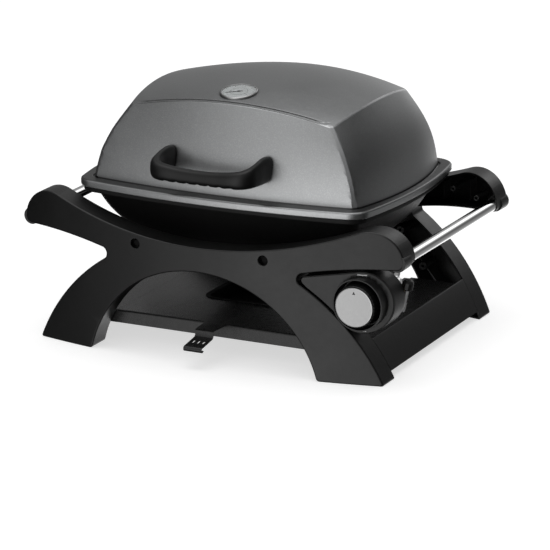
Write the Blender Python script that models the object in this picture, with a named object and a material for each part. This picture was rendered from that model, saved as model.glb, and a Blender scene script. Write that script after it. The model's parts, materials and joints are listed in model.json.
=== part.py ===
"""A portable tabletop gas grill: two moulded frames carry a cast bowl, with a hinged lid over it, a valve
with its knob in the right-hand notch and a slide-out tray below.

Sizes are in millimetres and turned into metres as each mesh is made. X runs to the right, Y to the back and
Z up. The origin is on the floor, under the middle of the whole grill.
"""

import math

import bmesh
import bpy
from mathutils import Matrix, Vector

MM = 0.001
GAP = 0.4

# Frames: one moulding at the front and its mirror image at the back. Their faces bow outwards.
FACE_REACH = 235.7
FACE_BOW = 4.436e-4
FRAME_DEPTH = 40.6
FRAME_WALL = 3.0
FRAME_FACET = 56.0
PANEL_FACET = 36.0
TOP_EDGE = (180.5, 683.8)
ARM_ROOT = (240.0, 224.7)
ARM_TIP = (307.0, 184.0)
ARM_HEEL = (298.5, 172.9)
NOTCH = (164.0, 150.0, 9.5)
FOOT_TOE = (281.0, 0.0)
LEG_RISE = 14.0
ARCH = (-45.5, 189.0)
ARM_RISES = (20.0, 2.5, -3.7)
BOLT_X = 103.5
BOLT_Z = 173.0
BOLT_BOSS = 12.0
BOLT_RECESS = (7.5, 10.0)
BOLT_HEAD = ((6.4, 4.5), (7.6, 6.2), (9.6, 6.2))
BOLT_RADIUS = 3.0
BOLT_HOLE = 3.8
NUT = (4.5, 5.8, 3.7)
SCREW_BOSSES = ((133.0, 117.0), (174.0, 66.0))
SCREW_BOSS = 6.5
SCREW_HOLE = (2.2, 15.0)

# Carrying bars and side panels.
BAR = (296.5, 183.2)
BAR_RADIUS = 9.0
BAR_INSET = 14.0
PANEL_LOW = 12.0
PANEL_HIGH = 59.0
PANEL_THICK = 3.0

# Straps that carry the bowl between the frames: how low they run, and their bends as (depth, height above).
CRADLE_THICK = 3.0
CRADLE_WIDTH = 18.0
CRADLE_LOW = 105.8
CRADLE_BENDS = ((60.0, 0.0), (100.0, 8.0))
CRADLE_TAB = (-30.0, 10.0)

# Lid: a bowed flange, a ledge, walls that lean in and a crowned top.
LID_BOTTOM = 232.4
LID_LEDGE = 243.5
LID_FLANGE = (229.5, 171.3, 18.3, 22.6, 21.0)
LID_WALL_FOOT = (212.5, 151.0, 22.0, 18.0, 10.0)
LID_CREST = (163.5, 134.0, 12.8, 10.7, 8.0)
LID_CREST_Z = 352.1
LID_CROWN = (21.3, 16.3)
LID_FLANGE_Y = -2.0
LID_CREST_Y = 5.8
LID_BULGE = 6.0
LID_SIDE_BULGE = 9.0
LID_SKIN = 4.0

# Gauge, on the crown of the lid.
GAUGE_Y = -98.0
GAUGE_RADIUS = 28.0
DIAL_RADIUS = 23.0

# Lid handle: where its left half runs, and the screws that hold it.
HANDLE_STATIONS = (
    # x, y, middle height, half height, half thickness, direction of the path in plan
    (-78.0, -163.5, 290.0, 18.5, 7.0, -90),
    (-77.5, -185.0, 289.5, 17.5, 6.5, -90),
    (-76.5, -208.0, 288.0, 15.0, 6.5, -88),
    (-73.0, -222.0, 286.5, 12.5, 8.5, -60),
    (-62.0, -227.0, 285.5, 12.0, 9.5, -15),
    (-34.0, -227.5, 284.5, 11.5, 9.0, -2),
)
HANDLE_MIDDLE = (0.0, -228.0, 284.0, 11.2, 9.0, 0)
HANDLE_SCREW = (77.5, 290.0)
HANDLE_SCREW_RADIUS = 2.2

# Hinges at the back of the lid.
HINGE_X = 120.0
HINGE_WIDTH = 30.0
HINGE_Y = 201.0
HINGE_Z = 231.8
KNUCKLE_RADIUS = 5.0
PIN_RADIUS = 2.4
LEAF_START = 172.0
BRACKET_START = 168.0
HINGE_PLATE = 3.0
MIDDLE_KNUCKLE = 6.7
TONGUE = (7.0, 1.0, 4.2)
ARM_SPREAD = (4.0, 0.5)

# Bowl: (height, half width, half depth, corner radius) down its outside.
BOWL_RIM = 231.4
BOWL_SIDE = (
    (224.5, 226.0, 168.0, 20.0),
    (223.5, 211.0, 151.0, 16.0),
    (216.0, 208.0, 149.0, 16.0),
    (196.0, 200.0, 140.0, 20.0),
    (177.0, 189.0, 129.0, 26.0),
    (160.0, 174.0, 114.0, 34.0),
    (140.0, 150.0, 92.0, 42.0),
    (120.0, 120.0, 66.0, 44.0),
    (106.0, 86.0, 44.0, 40.0),
)
BOWL_INNER = (1, 3, 5, 6, 7, 8)
BOWL_BOW = (18.0, 17.0)
BOWL_SKIN = 3.5
DRAIN_RADIUS = 13.0
DRAIN_WALL = 3.0
DRAIN_Z = 93.0

# Cooking grate halves, inside the bowl's rim.
GRATE = (203.5, 144.5, 14.0)
GRATE_DROP = 9.0
GRATE_THICK = 6.0
GRATE_SLOTS = 14
GRATE_PITCH = 20.0
GRATE_SLOT = (10.0, 196.0, 12.0)

# Burner and gas train, in the right-hand notch.
BURNER_Z = 148.0
BURNER_LOOP = (95.0, 52.0, 40.0)
TUBE_RADIUS = 9.0
TUBE_START = (-9.0, -26.67, -45.0)
TUBE_BENDS = ((228.0, -58.0, 142.0), (242.0, -80.0, 132.0))
TUBE_MOUTH = (-105.0, -122.0, -142.0)
TUBE_WALL = 3.0
IGNITER = (60.0, -28.0)
IGNITER_LEAN = (0.0, 0.45, -0.9)
KNOB = (247.5, 123.0)
PANEL_ROUND = (249.0, 123.0, 45.5)
PANEL_TIP = (166.0, 149.5, 6.0)
PANEL_GAP = 2.5
HOUSING_DEPTH = 38.0
FASCIA_THICK = 2.0
HOUSING_WALL = 2.8
WELL_FLOOR = -196.0
WELL_RADIUS = 36.5
WELL_WALL = 3.0
KNOB_SKIRT = 33.0
KNOB_GRIP = 31.5
KNOB_BACK = 5.5
KNOB_FRONT = 37.6
STEM_RADIUS = 5.0
INLET_START = 262.0
INLET_Y = -149.0
INLET_Z = 143.0
INLET_ELBOW = (293.5, -148.5, 140.0)
INLET_LEAN = (0.18, 0.1, 1.0)

# Tray.
TRAY_TOP = 51.0
TRAY_HALF = 161.0
TRAY_FRONT = -178.0
TRAY_BACK = 150.0
TRAY_LIP = 20.0
SHEET = 1.5
SHELF_GAP = 1.5
SHELF_LEDGE = 10.0
SHELF_REACH = 248.0
SHELF_DEPTH = 166.0
SHELF_LIP_END = 184.0
SHELF_EAR = 7.5
TAB_REACH = -252.0
TAB_LINE = ((-212.0, 51.0), (-214.0, 49.0), (-214.0, 42.0), (-216.0, 40.0), (-247.0, 35.5))
TAB_HALF = 14.8
TAB_FLARE = 3.0
TAB_ROLL = (-247.8, 31.5, 4.2)
TAB_SLOTS = (-8.0, 0.0, 8.0)
PAN_HALF = (80.0, 68.0)
PAN_CORNER = 22.0
PAN_DEPTH = 24.0
PAN_RIM = 6.0

# The mirror-image frames are centred on Y 0, and the tab makes the grill longer in front of them.
CENTRE_Y = -(TAB_REACH + FACE_REACH) / 2


def clear_scene():
    for obj in list(bpy.data.objects):
        bpy.data.objects.remove(obj, do_unlink=True)


def material(name, colour, roughness, metallic=0.0, alpha=1.0):
    made = bpy.data.materials.new(name)
    made.use_nodes = True
    shader = made.node_tree.nodes["Principled BSDF"]
    shader.inputs["Base Color"].default_value = (*colour, 1.0)
    shader.inputs["Roughness"].default_value = roughness
    shader.inputs["Metallic"].default_value = metallic
    shader.inputs["Alpha"].default_value = alpha
    return made


def empty(name, place, parent=None):
    made = bpy.data.objects.new(name, None)
    bpy.context.scene.collection.objects.link(made)
    made.parent = parent
    made.location = Vector(place) * MM
    return made


def solid(name, bm, finish=None, parent=None, place=None):
    """One object from a bmesh in millimetres. place is the object's origin, in the bmesh's frame."""
    origin = Vector(place or (0, 0, 0))
    bmesh.ops.recalc_face_normals(bm, faces=bm.faces)
    if bm.calc_volume(signed=True) < 0:
        bmesh.ops.reverse_faces(bm, faces=bm.faces)
    bmesh.ops.transform(bm, matrix=Matrix.Scale(MM, 4) @ Matrix.Translation(-origin), verts=bm.verts)
    mesh = bpy.data.meshes.new(name)
    bm.to_mesh(mesh)
    bm.free()
    mesh.shade_smooth()
    mesh.set_sharp_from_angle(angle=math.radians(35))
    made = bpy.data.objects.new(name, mesh)
    bpy.context.scene.collection.objects.link(made)
    made.location = origin * MM
    if parent:
        made.parent = parent
        made.location -= parent_place(parent)
    if finish:
        mesh.materials.append(finish)
    return made


def parent_place(obj):
    """Where an empty is in the grill's frame. The root empty itself moves the whole grill to its origin."""
    place = Vector()
    while obj.parent:
        place += obj.location
        obj = obj.parent
    return place


def combine(target, tool_bm, operation):
    """Adds or takes away a shape with a Boolean. The tool stays in the file as a hidden wire shape."""
    tool = solid(f"{target.name}_{operation.lower()}_tool", tool_bm)
    tool.parent = target
    tool.location = -target.location
    if target.parent:
        tool.location -= parent_place(target.parent)
    tool.hide_render = True
    tool.display_type = "WIRE"
    step = target.modifiers.new(operation.title(), "BOOLEAN")
    step.operation = operation
    step.solver = "EXACT"
    step.object = tool
    return tool


def add(target, tool_bm):
    return combine(target, tool_bm, "UNION")


def cut(target, tool_bm):
    return combine(target, tool_bm, "DIFFERENCE")


def merged(*parts):
    """Several separate shapes in one bmesh."""
    whole = bmesh.new()
    for part in parts:
        scratch = bpy.data.meshes.new("scratch")
        part.to_mesh(scratch)
        part.free()
        whole.from_mesh(scratch)
        bpy.data.meshes.remove(scratch)
    return whole


def moved(bm, matrix):
    bmesh.ops.transform(bm, matrix=matrix, verts=bm.verts)
    return bm


def arc(centre, radius, start, end, steps):
    """Points on a circle from one angle to another, in degrees, both ends included."""
    angles = [math.radians(start + (end - start) * i / steps) for i in range(steps + 1)]
    return [(centre[0] + radius * math.cos(a), centre[1] + radius * math.sin(a)) for a in angles]


def bulge_circle(start, end, rise):
    """The centre and radius of the arc from start to end that stands rise to the left of its chord."""
    a, b = Vector(start), Vector(end)
    half = (b - a) / 2
    left = Vector((-half.y, half.x)).normalized()
    radius = (half.length_squared + rise * rise) / (2 * rise)
    return a + half + left * (rise - radius), radius


def bulge(start, end, rise, steps):
    """Points along that arc, both ends included."""
    centre, radius = bulge_circle(start, end, rise)
    spoke = Vector(start) - centre
    sweep = -2 * math.asin((Vector(end) - Vector(start)).length / 2 / radius)
    return [tuple(centre + Matrix.Rotation(sweep * i / steps, 2) @ spoke) for i in range(steps + 1)]


def inset(outline, amount):
    """The outline of a counter-clockwise loop moved inwards by amount, corner by corner."""
    points = [Vector(p) for p in outline]
    result = []
    for before, here, after in zip(points[-1:] + points[:-1], points, points[1:] + points[:1]):
        one = (here - before).normalized()
        two = (after - here).normalized()
        normal = (Vector((-one.y, one.x)) + Vector((-two.y, two.x))).normalized()
        lean = max(0.5, normal.dot(Vector((-one.y, one.x))))
        result.append(tuple(here + normal * (amount / lean)))
    return result


def loft(rings, ends="flat"):
    """A skin over rings of equal length. ends is flat, joined, or point where each end is one point."""
    bm = bmesh.new()
    made = []
    for ring in rings:
        if len(ring) == 1:
            made.append([bm.verts.new(ring[0])] * len(rings[1]))
        else:
            made.append([bm.verts.new(p) for p in ring])
    pairs = list(zip(made, made[1:]))
    if ends == "joined":
        pairs.append((made[-1], made[0]))
    for low, high in pairs:
        for i in range(len(low)):
            j = (i + 1) % len(low)
            corners = []
            for vert in (low[i], low[j], high[j], high[i]):
                if vert not in corners:
                    corners.append(vert)
            bm.faces.new(corners)
    if ends == "flat":
        bm.faces.new(made[0])
        bm.faces.new(made[-1])
    return bm


def prism(outline, axis, low, high):
    """An outline pushed along an axis: X takes (y, z) points, Y takes (x, z) and Z takes (x, y)."""
    def place(p, depth):
        return {"X": (depth, p[0], p[1]), "Y": (p[0], depth, p[1]), "Z": (p[0], p[1], depth)}[axis]

    return loft([[place(p, low) for p in outline], [place(p, high) for p in outline]])


def box(low, high):
    corners = [(low[0], low[1]), (high[0], low[1]), (high[0], high[1]), (low[0], high[1])]
    return prism(corners, "Z", low[2], high[2])


def turned(profile, place, axis, sides, ends="flat"):
    """A shape turned about an axis through place. profile holds (distance along the axis, radius)."""
    turn = Vector((0, 0, 1)).rotation_difference(Vector(axis)).to_matrix()
    rings = []
    for along, radius in profile:
        flat = arc((0, 0), radius, 0, 360 - 360 / sides, sides - 1)
        rings.append([Vector(place) + turn @ Vector((x, y, along)) for x, y in flat])
    return loft(rings, ends)


def rod(place, axis, radius, low, high, sides=16):
    return turned([(low, radius), (high, radius)], place, axis, sides)


def swept(path, radii, sides=12):
    """A round tube along a path, with a radius at each point. Its rings stay square to the path."""
    points = [Vector(p) for p in path]
    rings = []
    side = None
    for i, here in enumerate(points):
        ahead = points[min(i + 1, len(points) - 1)] - points[max(i - 1, 0)]
        ahead.normalize()
        side = ahead.orthogonal() if side is None else side - ahead * side.dot(ahead)
        side.normalize()
        up = ahead.cross(side)
        spokes = arc((0, 0), radii[i], 0, 360 - 360 / sides, sides - 1)
        rings.append([here + side * x + up * y for x, y in spokes])
    return loft(rings)


def round_box(half_x, half_y, corner, corner_steps=3, side_steps=1, centre=(0, 0)):
    """A rectangle with round corners, counter-clockwise from the right-hand side."""
    points = []
    for number, (sx, sy) in enumerate(((1, 1), (-1, 1), (-1, -1), (1, -1))):
        middle = (centre[0] + sx * (half_x - corner), centre[1] + sy * (half_y - corner))
        quarter = arc(middle, corner, 90 * number, 90 * number + 90, corner_steps)
        if points:
            points += between(points[-1], quarter[0], side_steps)
        points += quarter
    return points + between(points[-1], points[0], side_steps)


def between(start, end, steps):
    return [tuple(Vector(start).lerp(Vector(end), i / steps)) for i in range(1, steps)]


def bowed(half_x, half_y, bow_x, bow_y, corner, shift_y, height, steps=6):
    """A round-cornered rectangle whose sides bow outwards. height takes the place across, -1 to 1."""
    ring = []
    for x, y in round_box(half_x, half_y, corner, 3, steps):
        u, v = x / half_x, y / half_y
        ring.append((x + u * bow_x * (1 - v * v), y + v * bow_y * (1 - u * u) + shift_y, height(u, v)))
    return ring


def bow(x):
    return FACE_BOW * x * x


def rim_y(x):
    """How far the inner edge of a frame is from the centre plane."""
    return FACE_REACH - bow(x) - FRAME_DEPTH


def notch_arc():
    """The round end of the notch between the arm and the leg."""
    x, z, radius = NOTCH
    return arc((x, z), radius, 95, 230, 5)


def frame_outline():
    """The frame's edge in X and Z: its right-hand side from the top's middle to the arch's, mirrored."""
    top_z, top_radius = TOP_EDGE
    reach = math.degrees(math.asin(ARM_ROOT[0] / top_radius))
    arch_z, arch_radius = ARCH
    foot_angle = math.degrees(math.asin(-arch_z / arch_radius))
    notch = notch_arc()
    right = arc((0, top_z + top_radius), top_radius, -90, -90 + reach, 7)
    shoulder_rise, tip_rise, heel_rise = ARM_RISES
    right += bulge(right[-1], ARM_TIP, shoulder_rise, 6)[1:]
    right += bulge(ARM_TIP, ARM_HEEL, tip_rise, 3)[1:]
    right += bulge(ARM_HEEL, notch[0], heel_rise, 3)[1:-1]
    right += notch
    right += bulge(notch[-1], FOOT_TOE, LEG_RISE, 6)[1:]
    right += arc((0, arch_z), arch_radius, foot_angle, 90, 8)
    left = [(-x, z) for x, z in reversed(right[1:-1])]
    return list(reversed(right + left))


def bend(bm, side, facet):
    """Bows a flat shape, whose Y is the depth behind the face, in strips facet wide."""
    bm.normal_update()
    bmesh.ops.triangulate(bm, faces=[f for f in bm.faces if len(f.verts) > 4])
    strips = math.ceil(ARM_TIP[0] / facet)
    for i in range(-strips, strips + 1):
        everything = bm.verts[:] + bm.edges[:] + bm.faces[:]
        bmesh.ops.bisect_plane(bm, geom=everything, plane_co=(i * facet, 0, 0), plane_no=(1, 0, 0))
    for vert in bm.verts:
        vert.co.y = side * (FACE_REACH - bow(vert.co.x) - vert.co.y)
    return bm


def frame(name, side, finish, parent):
    """A hollow moulding, open towards the middle of the grill. side is -1 in front and 1 at the back."""
    outer = frame_outline()
    inner = inset(outer, FRAME_WALL)
    bm = bmesh.new()
    skins = []
    for outline, depth in ((outer, 0.0), (outer, FRAME_DEPTH), (inner, FRAME_DEPTH), (inner, FRAME_WALL)):
        skins.append([bm.verts.new((x, depth, z)) for x, z in outline])
    for near, far in zip(skins, skins[1:]):
        for i in range(len(near)):
            j = (i + 1) % len(near)
            bm.faces.new((near[i], near[j], far[j], far[i]))
    bm.faces.new(skins[0])
    bm.faces.new(skins[-1])
    bend(bm, side, FRAME_FACET)
    made = solid(name, bm, finish, parent)
    add(made, merged(*frame_bosses(side)))
    cut(made, merged(*frame_holes(side)))
    return made


def across(side, x, z, radius, start, end, sides=12):
    """A rod along Y through a frame. start and end are depths behind the frame's face."""
    face = side * (FACE_REACH - bow(x))
    return rod((x, face, z), (0, -side, 0), radius, start, end, sides)


def frame_bosses(side):
    inside = FRAME_WALL / 2
    bosses = []
    for sign in (-1, 1):
        bosses.append(across(side, sign * BOLT_X, BOLT_Z, BOLT_BOSS, inside, FRAME_DEPTH - GAP))
        bosses.append(across(side, sign * BAR[0], BAR[1], BAR_RADIUS + 1, inside, BAR_INSET + 2))
        for x, z in SCREW_BOSSES:
            bosses.append(across(side, sign * x, z, SCREW_BOSS, inside, FRAME_DEPTH - GAP, 8))
    return bosses


def frame_holes(side):
    holes = []
    recess, recess_depth = BOLT_RECESS
    hole, hole_start = SCREW_HOLE
    past = FRAME_DEPTH + 5
    for sign in (-1, 1):
        face = side * (FACE_REACH - bow(BOLT_X))
        stepped = [(-5, recess), (recess_depth, recess), (recess_depth, BOLT_HOLE), (past, BOLT_HOLE)]
        holes.append(turned(stepped, (sign * BOLT_X, face, BOLT_Z), (0, -side, 0), 12))
        holes.append(across(side, sign * BAR[0], BAR[1], BAR_RADIUS + GAP, BAR_INSET, past, 16))
        for x, z in SCREW_BOSSES:
            holes.append(across(side, sign * x, z, hole, hole_start, past, 6))
    return holes


def side_panel(name, side, finish, parent):
    """A plate between the frames that follows the outer curve of the legs."""
    leg = bulge(notch_arc()[-1], FOOT_TOE, LEG_RISE, 60)
    curve = [p for p in leg if PANEL_LOW < p[1] < PANEL_HIGH][::4]
    outer = [Vector(p) for p in curve]
    inner = [p + Vector((-PANEL_THICK, 0)) for p in reversed(outer)]
    outline = [(side * p.x, p.y) for p in outer + inner]
    rings = []
    for end in (-1, 1):
        rings.append([(x, end * (rim_y(x) - GAP), z) for x, z in outline])
    return solid(name, loft(rings), finish, parent)


def carrying_bar(name, side, finish, parent):
    x, z = side * BAR[0], BAR[1]
    reach = FACE_REACH - bow(x) - BAR_INSET - GAP
    return solid(name, rod((x, 0, z), (0, 1, 0), BAR_RADIUS, -reach, reach), finish, parent)


def frame_bolt(name, side, sign, finish, parent):
    """A button-head bolt: its head sits in the frame's recess and its shank runs to the cradle's tab."""
    x = sign * BOLT_X
    face = side * (FACE_REACH - bow(x))
    profile = [*BOLT_HEAD, (BOLT_HEAD[-1][0], BOLT_RADIUS), (FRAME_DEPTH + 9.0, BOLT_RADIUS)]
    return solid(name, turned(profile, (x, face, BOLT_Z), (0, -side, 0), 10), finish, parent)


def frame_nut(name, side, sign, finish, parent):
    x = sign * BOLT_X
    face = side * (FACE_REACH - bow(x))
    start = FRAME_DEPTH + CRADLE_THICK + 2 * GAP
    height, radius, bore = NUT
    profile = [(start, radius), (start + height, radius), (start + height, bore), (start, bore)]
    return solid(name, turned(profile, (x, face, BOLT_Z), (0, -side, 0), 6, "joined"), finish, parent)


def cradle(name, sign, finish, parent):
    """A bent strap under the bowl, bolted to both frames."""
    tab = rim_y(BOLT_X) - GAP
    tab_low, tab_high = CRADLE_TAB
    half = [(y, CRADLE_LOW + rise) for y, rise in CRADLE_BENDS]
    half += [(tab, BOLT_Z + tab_low), (tab, BOLT_Z + tab_high)]
    top = [(y - CRADLE_THICK / 3, CRADLE_LOW + CRADLE_THICK + rise) for y, rise in CRADLE_BENDS]
    inner_tab = tab - CRADLE_THICK
    top += [(inner_tab, BOLT_Z + tab_low + CRADLE_THICK / 2), (inner_tab, BOLT_Z + tab_high)]
    under = [(-y, z) for y, z in reversed(half)] + half
    over = [(y, z) for y, z in reversed(top)] + [(-y, z) for y, z in top]
    x = sign * BOLT_X
    made = solid(name, prism(under + over, "X", x - CRADLE_WIDTH / 2, x + CRADLE_WIDTH / 2), finish, parent)
    cut(made, rod((x, 0, BOLT_Z), (0, 1, 0), BOLT_HOLE, -tab - 5, tab + 5, 9))
    return made


def lid_rings(skin, crown_steps, wall_steps):
    """The lid's rings from the middle of its crown out and down to its ledge. skin moves them inwards."""
    crest_x, crest_y, crest_bow_x, crest_bow_y, crest_corner = LID_CREST
    foot = LID_WALL_FOOT
    rings = []

    def crown(u, v, scale):
        rise_x, rise_y = LID_CROWN
        return LID_CREST_Z - skin + rise_x * (1 - (u * scale) ** 2) + rise_y * (1 - (v * scale) ** 2)

    rings.append([(0, LID_CREST_Y, crown(0, 0, 0))])
    for number in range(1, crown_steps + 1):
        scale = number / crown_steps
        sizes = (crest_x - skin, crest_y - skin, crest_bow_x, crest_bow_y, crest_corner)
        flat = bowed(*sizes, 0, level(0))
        ring = []
        for x, y, _ in flat:
            u = x / (crest_x - skin)
            v = y / (crest_y - skin)
            u, v = unbowed(u, v, crest_bow_x / crest_x, crest_bow_y / crest_y)
            su, sv = u * scale, v * scale
            ring.append((
                su * (crest_x - skin + crest_bow_x * (1 - sv * sv)),
                sv * (crest_y - skin + crest_bow_y * (1 - su * su)) + LID_CREST_Y,
                crown(u, v, scale),
            ))
        rings.append(ring)
    for number in range(1, wall_steps + 1):
        down = number / wall_steps
        swell = math.sin(math.pi * down)
        sizes = [a + (b - a) * down for a, b in zip(LID_CREST, foot)]
        half_x = sizes[0] - skin + LID_SIDE_BULGE * swell
        half_y = sizes[1] - skin + LID_BULGE * swell
        shift = LID_CREST_Y + (LID_FLANGE_Y - LID_CREST_Y) * down

        def height(u, v, down=down):
            top = crown(u, v, 1.0)
            return top + (LID_LEDGE - top) * down

        rings.append(bowed(half_x, half_y, sizes[2], sizes[3], max(sizes[4] - skin, 3.0), shift, height))
    return rings


def unbowed(u, v, bow_x, bow_y):
    """The place across a bowed outline, from -1 to 1 each way, of a point given in half widths."""
    a, b = u, v
    for _ in range(12):
        a = u / (1 + bow_x * (1 - b * b))
        b = v / (1 + bow_y * (1 - a * a))
    return a, b


def level(z):
    return lambda u, v: z


def shrunk(sizes, amount):
    return (sizes[0] - amount, sizes[1] - amount, sizes[2], sizes[3], max(sizes[4] - amount, 3.0))


def lid_shell(finish, parent, place):
    outer = lid_rings(0.0, 4, 5)
    inner = lid_rings(LID_SKIN, 3, 3)
    flange = [
        bowed(*shrunk(LID_FLANGE, 3.0), LID_FLANGE_Y, level(LID_LEDGE)),
        bowed(*LID_FLANGE, LID_FLANGE_Y, level(LID_LEDGE - 3.0)),
        bowed(*LID_FLANGE, LID_FLANGE_Y, level(LID_BOTTOM + 1.5)),
        bowed(*shrunk(LID_FLANGE, 1.5), LID_FLANGE_Y, level(LID_BOTTOM)),
    ]
    mouth = [bowed(*shrunk(LID_WALL_FOOT, LID_SKIN), LID_FLANGE_Y, level(LID_BOTTOM))]
    made = solid("lid_shell", loft(outer + flange + mouth + inner[::-1], "point"), finish, parent, place)
    hole, axis = gauge_frame()
    cut(made, merged(rod(hole, axis, 5.2, -20, 20, 10), *handle_screw_holes(3.0)))
    return made


def crown_point(x, y):
    """A point on the lid's crown and the crown's normal there."""
    crest_x, crest_y, crest_bow_x, crest_bow_y, _ = LID_CREST
    u, v = unbowed(x / crest_x, (y - LID_CREST_Y) / crest_y, crest_bow_x / crest_x, crest_bow_y / crest_y)
    rise_x, rise_y = LID_CROWN
    z = LID_CREST_Z + rise_x * (1 - u * u) + rise_y * (1 - v * v)
    slope_x = -2 * rise_x * u / (crest_x + crest_bow_x)
    slope_y = -2 * rise_y * v / (crest_y + crest_bow_y)
    return Vector((x, y, z)), Vector((-slope_x, -slope_y, 1)).normalized()


def gauge_frame():
    return crown_point(0, GAUGE_Y)


def gauge(metal, face, dark, clear, parent, lid_place, needle_parent):
    place, axis = gauge_frame()
    bezel = [(-15, 4.6), (0.7, 4.6), (0.7, GAUGE_RADIUS), (4.2, GAUGE_RADIUS), (6.0, GAUGE_RADIUS - 1.6),
             (6.0, DIAL_RADIUS + 0.8), (2.2, DIAL_RADIUS + 0.8), (2.2, 3.0), (-15, 3.0)]
    solid("gauge_bezel", turned(bezel, place, axis, 28, "joined"), metal, parent, lid_place)
    dial = [(2.6, DIAL_RADIUS), (3.2, DIAL_RADIUS), (3.2, 1.6), (2.6, 1.6)]
    solid("gauge_dial", turned(dial, place, axis, 24, "joined"), face, parent, lid_place)
    lens = [(4.8, DIAL_RADIUS + 0.3), (5.6, DIAL_RADIUS + 0.3)]
    solid("gauge_lens", turned(lens, place, axis, 24), clear, parent, lid_place)
    solid("gauge_probe", rod(place, axis, 2.5, -62, 1.9, 10), metal, parent, lid_place)
    nut = [(-LID_SKIN - 6.5, 9), (-LID_SKIN - 2.0, 9), (-LID_SKIN - 2.0, 5.6), (-LID_SKIN - 6.5, 5.6)]
    solid("gauge_nut", turned(nut, place, axis, 6, "joined"), metal, parent, lid_place)
    pointer = [(-1.6, -7), (1.6, -7), (1.0, 0), (0.5, 17), (-0.5, 17), (-1.0, 0)]
    turn = Vector((0, 0, 1)).rotation_difference(axis).to_matrix().to_4x4()
    start = Matrix.Rotation(math.radians(120), 4, "Z")
    needle = moved(prism(pointer, "Z", 3.6, 4.2), Matrix.Translation(place) @ turn @ start)
    solid("gauge_needle", needle, dark, needle_parent, place)


def wall_y(z, x):
    """Where the front of the lid's wall is, at a height and a place along it."""
    top = LID_CREST_Z + LID_CROWN[0]
    down = (top - z) / (top - LID_LEDGE)
    sizes = [a + (b - a) * down for a, b in zip(LID_CREST, LID_WALL_FOOT)]
    half = sizes[1] + LID_BULGE * math.sin(math.pi * down)
    reach = half + sizes[3] * (1 - (x / sizes[0]) ** 2)
    return -reach + LID_CREST_Y + (LID_FLANGE_Y - LID_CREST_Y) * down


def handle_stations():
    left = list(HANDLE_STATIONS)
    right = [(-x, y, z, tall, thick, -turn) for x, y, z, tall, thick, turn in reversed(left)]
    return left + [HANDLE_MIDDLE] + right


def lid_handle(finish, parent, place):
    """A grip between two deep side plates. Its ends lean to meet the lid's wall."""
    rings = []
    stations = handle_stations()
    for x, y, middle, tall, thick, turn in stations:
        ring = []
        across_path = Vector((-math.sin(math.radians(turn)), math.cos(math.radians(turn)), 0))
        for px, pz in round_box(thick, tall, min(thick, tall) * 0.62, 2, 2):
            point = Vector((x, y, middle + pz)) + across_path * px
            if y > HANDLE_STATIONS[1][1]:
                point.y = wall_y(point.z, point.x) - GAP
            ring.append(point)
        rings.append(ring)
    made = solid("lid_handle", loft(rings), finish, parent, place)
    cut(made, merged(*handle_screw_holes(2.8)))
    return made


def handle_screw_holes(radius):
    x, z = HANDLE_SCREW
    return [rod((sign * x, -150, z), (0, -1, 0), radius, -6, 35, 8) for sign in (-1, 1)]


def handle_screw(name, sign, finish, parent, place):
    x, z = HANDLE_SCREW
    seat = wall_y(z, x) + LID_SKIN + 3.4
    profile = [(-3.0, 4.5), (0, 4.5), (0, HANDLE_SCREW_RADIUS), (18, HANDLE_SCREW_RADIUS)]
    made = turned(profile, (sign * x, seat, z), (0, -1, 0), 8)
    return solid(name, made, finish, parent, place)


def hinge_leaf(name, sign, finish, parent, place):
    """The lid's half of a hinge: a tab over the flange, bent down to the middle knuckle."""
    x = sign * HINGE_X
    low, high = x - HINGE_WIDTH / 2, x + HINGE_WIDTH / 2
    tab_z = LID_LEDGE + GAP
    top = tab_z + HINGE_PLATE
    made = solid(name, box((low, LEAF_START, tab_z), (high, HINGE_Y - 4, top)), finish, parent, place)
    back, front, slope = TONGUE
    tongue = [(HINGE_Y - back, HINGE_Z), (HINGE_Y - front, HINGE_Z), (HINGE_Y - slope, top - 0.5),
              (HINGE_Y - back, top - 0.5)]
    add(made, prism(tongue, "X", x - MIDDLE_KNUCKLE, x + MIDDLE_KNUCKLE))
    add(made, rod((x, HINGE_Y, HINGE_Z), (1, 0, 0), KNUCKLE_RADIUS, -MIDDLE_KNUCKLE, MIDDLE_KNUCKLE, 12))
    cut(made, rod((x, HINGE_Y, HINGE_Z), (1, 0, 0), PIN_RADIUS + GAP, -20, 20, 12))
    return made


def hinge_bracket(name, sign, finish, parent):
    """The bowl's half: a tab under its flange with two knuckles beside the lid's."""
    x = sign * HINGE_X
    low, high = x - HINGE_WIDTH / 2, x + HINGE_WIDTH / 2
    tab_z = BOWL_SIDE[1][0] - GAP
    plate = box((low, BRACKET_START, tab_z - HINGE_PLATE), (high, HINGE_Y + 1, tab_z))
    made = solid(name, plate, finish, parent)
    inner = MIDDLE_KNUCKLE + GAP
    spread, foot = ARM_SPREAD
    arm_low = tab_z - HINGE_PLATE + 0.5
    arm = [(HINGE_Y - spread, arm_low), (HINGE_Y + foot, arm_low), (HINGE_Y + spread, HINGE_Z),
           (HINGE_Y - spread, HINGE_Z)]
    arms = []
    knuckles = []
    for start, end in ((low, x - inner), (x + inner, high)):
        arms.append(prism(arm, "X", start, end))
        knuckles.append(rod((0, HINGE_Y, HINGE_Z), (1, 0, 0), KNUCKLE_RADIUS, start, end, 12))
    add(made, merged(*arms))
    add(made, merged(*knuckles))
    cut(made, rod((x, HINGE_Y, HINGE_Z), (1, 0, 0), PIN_RADIUS + GAP, -20, 20, 12))
    return made


def hinge_pin(name, sign, finish, parent):
    x = sign * HINGE_X
    reach = HINGE_WIDTH / 2 + 1
    head = PIN_RADIUS + 1.6
    profile = [(-reach - 2, head), (-reach, head), (-reach, PIN_RADIUS), (reach, PIN_RADIUS)]
    return solid(name, turned(profile, (x, HINGE_Y, HINGE_Z), (sign, 0, 0), 12), finish, parent)


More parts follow.
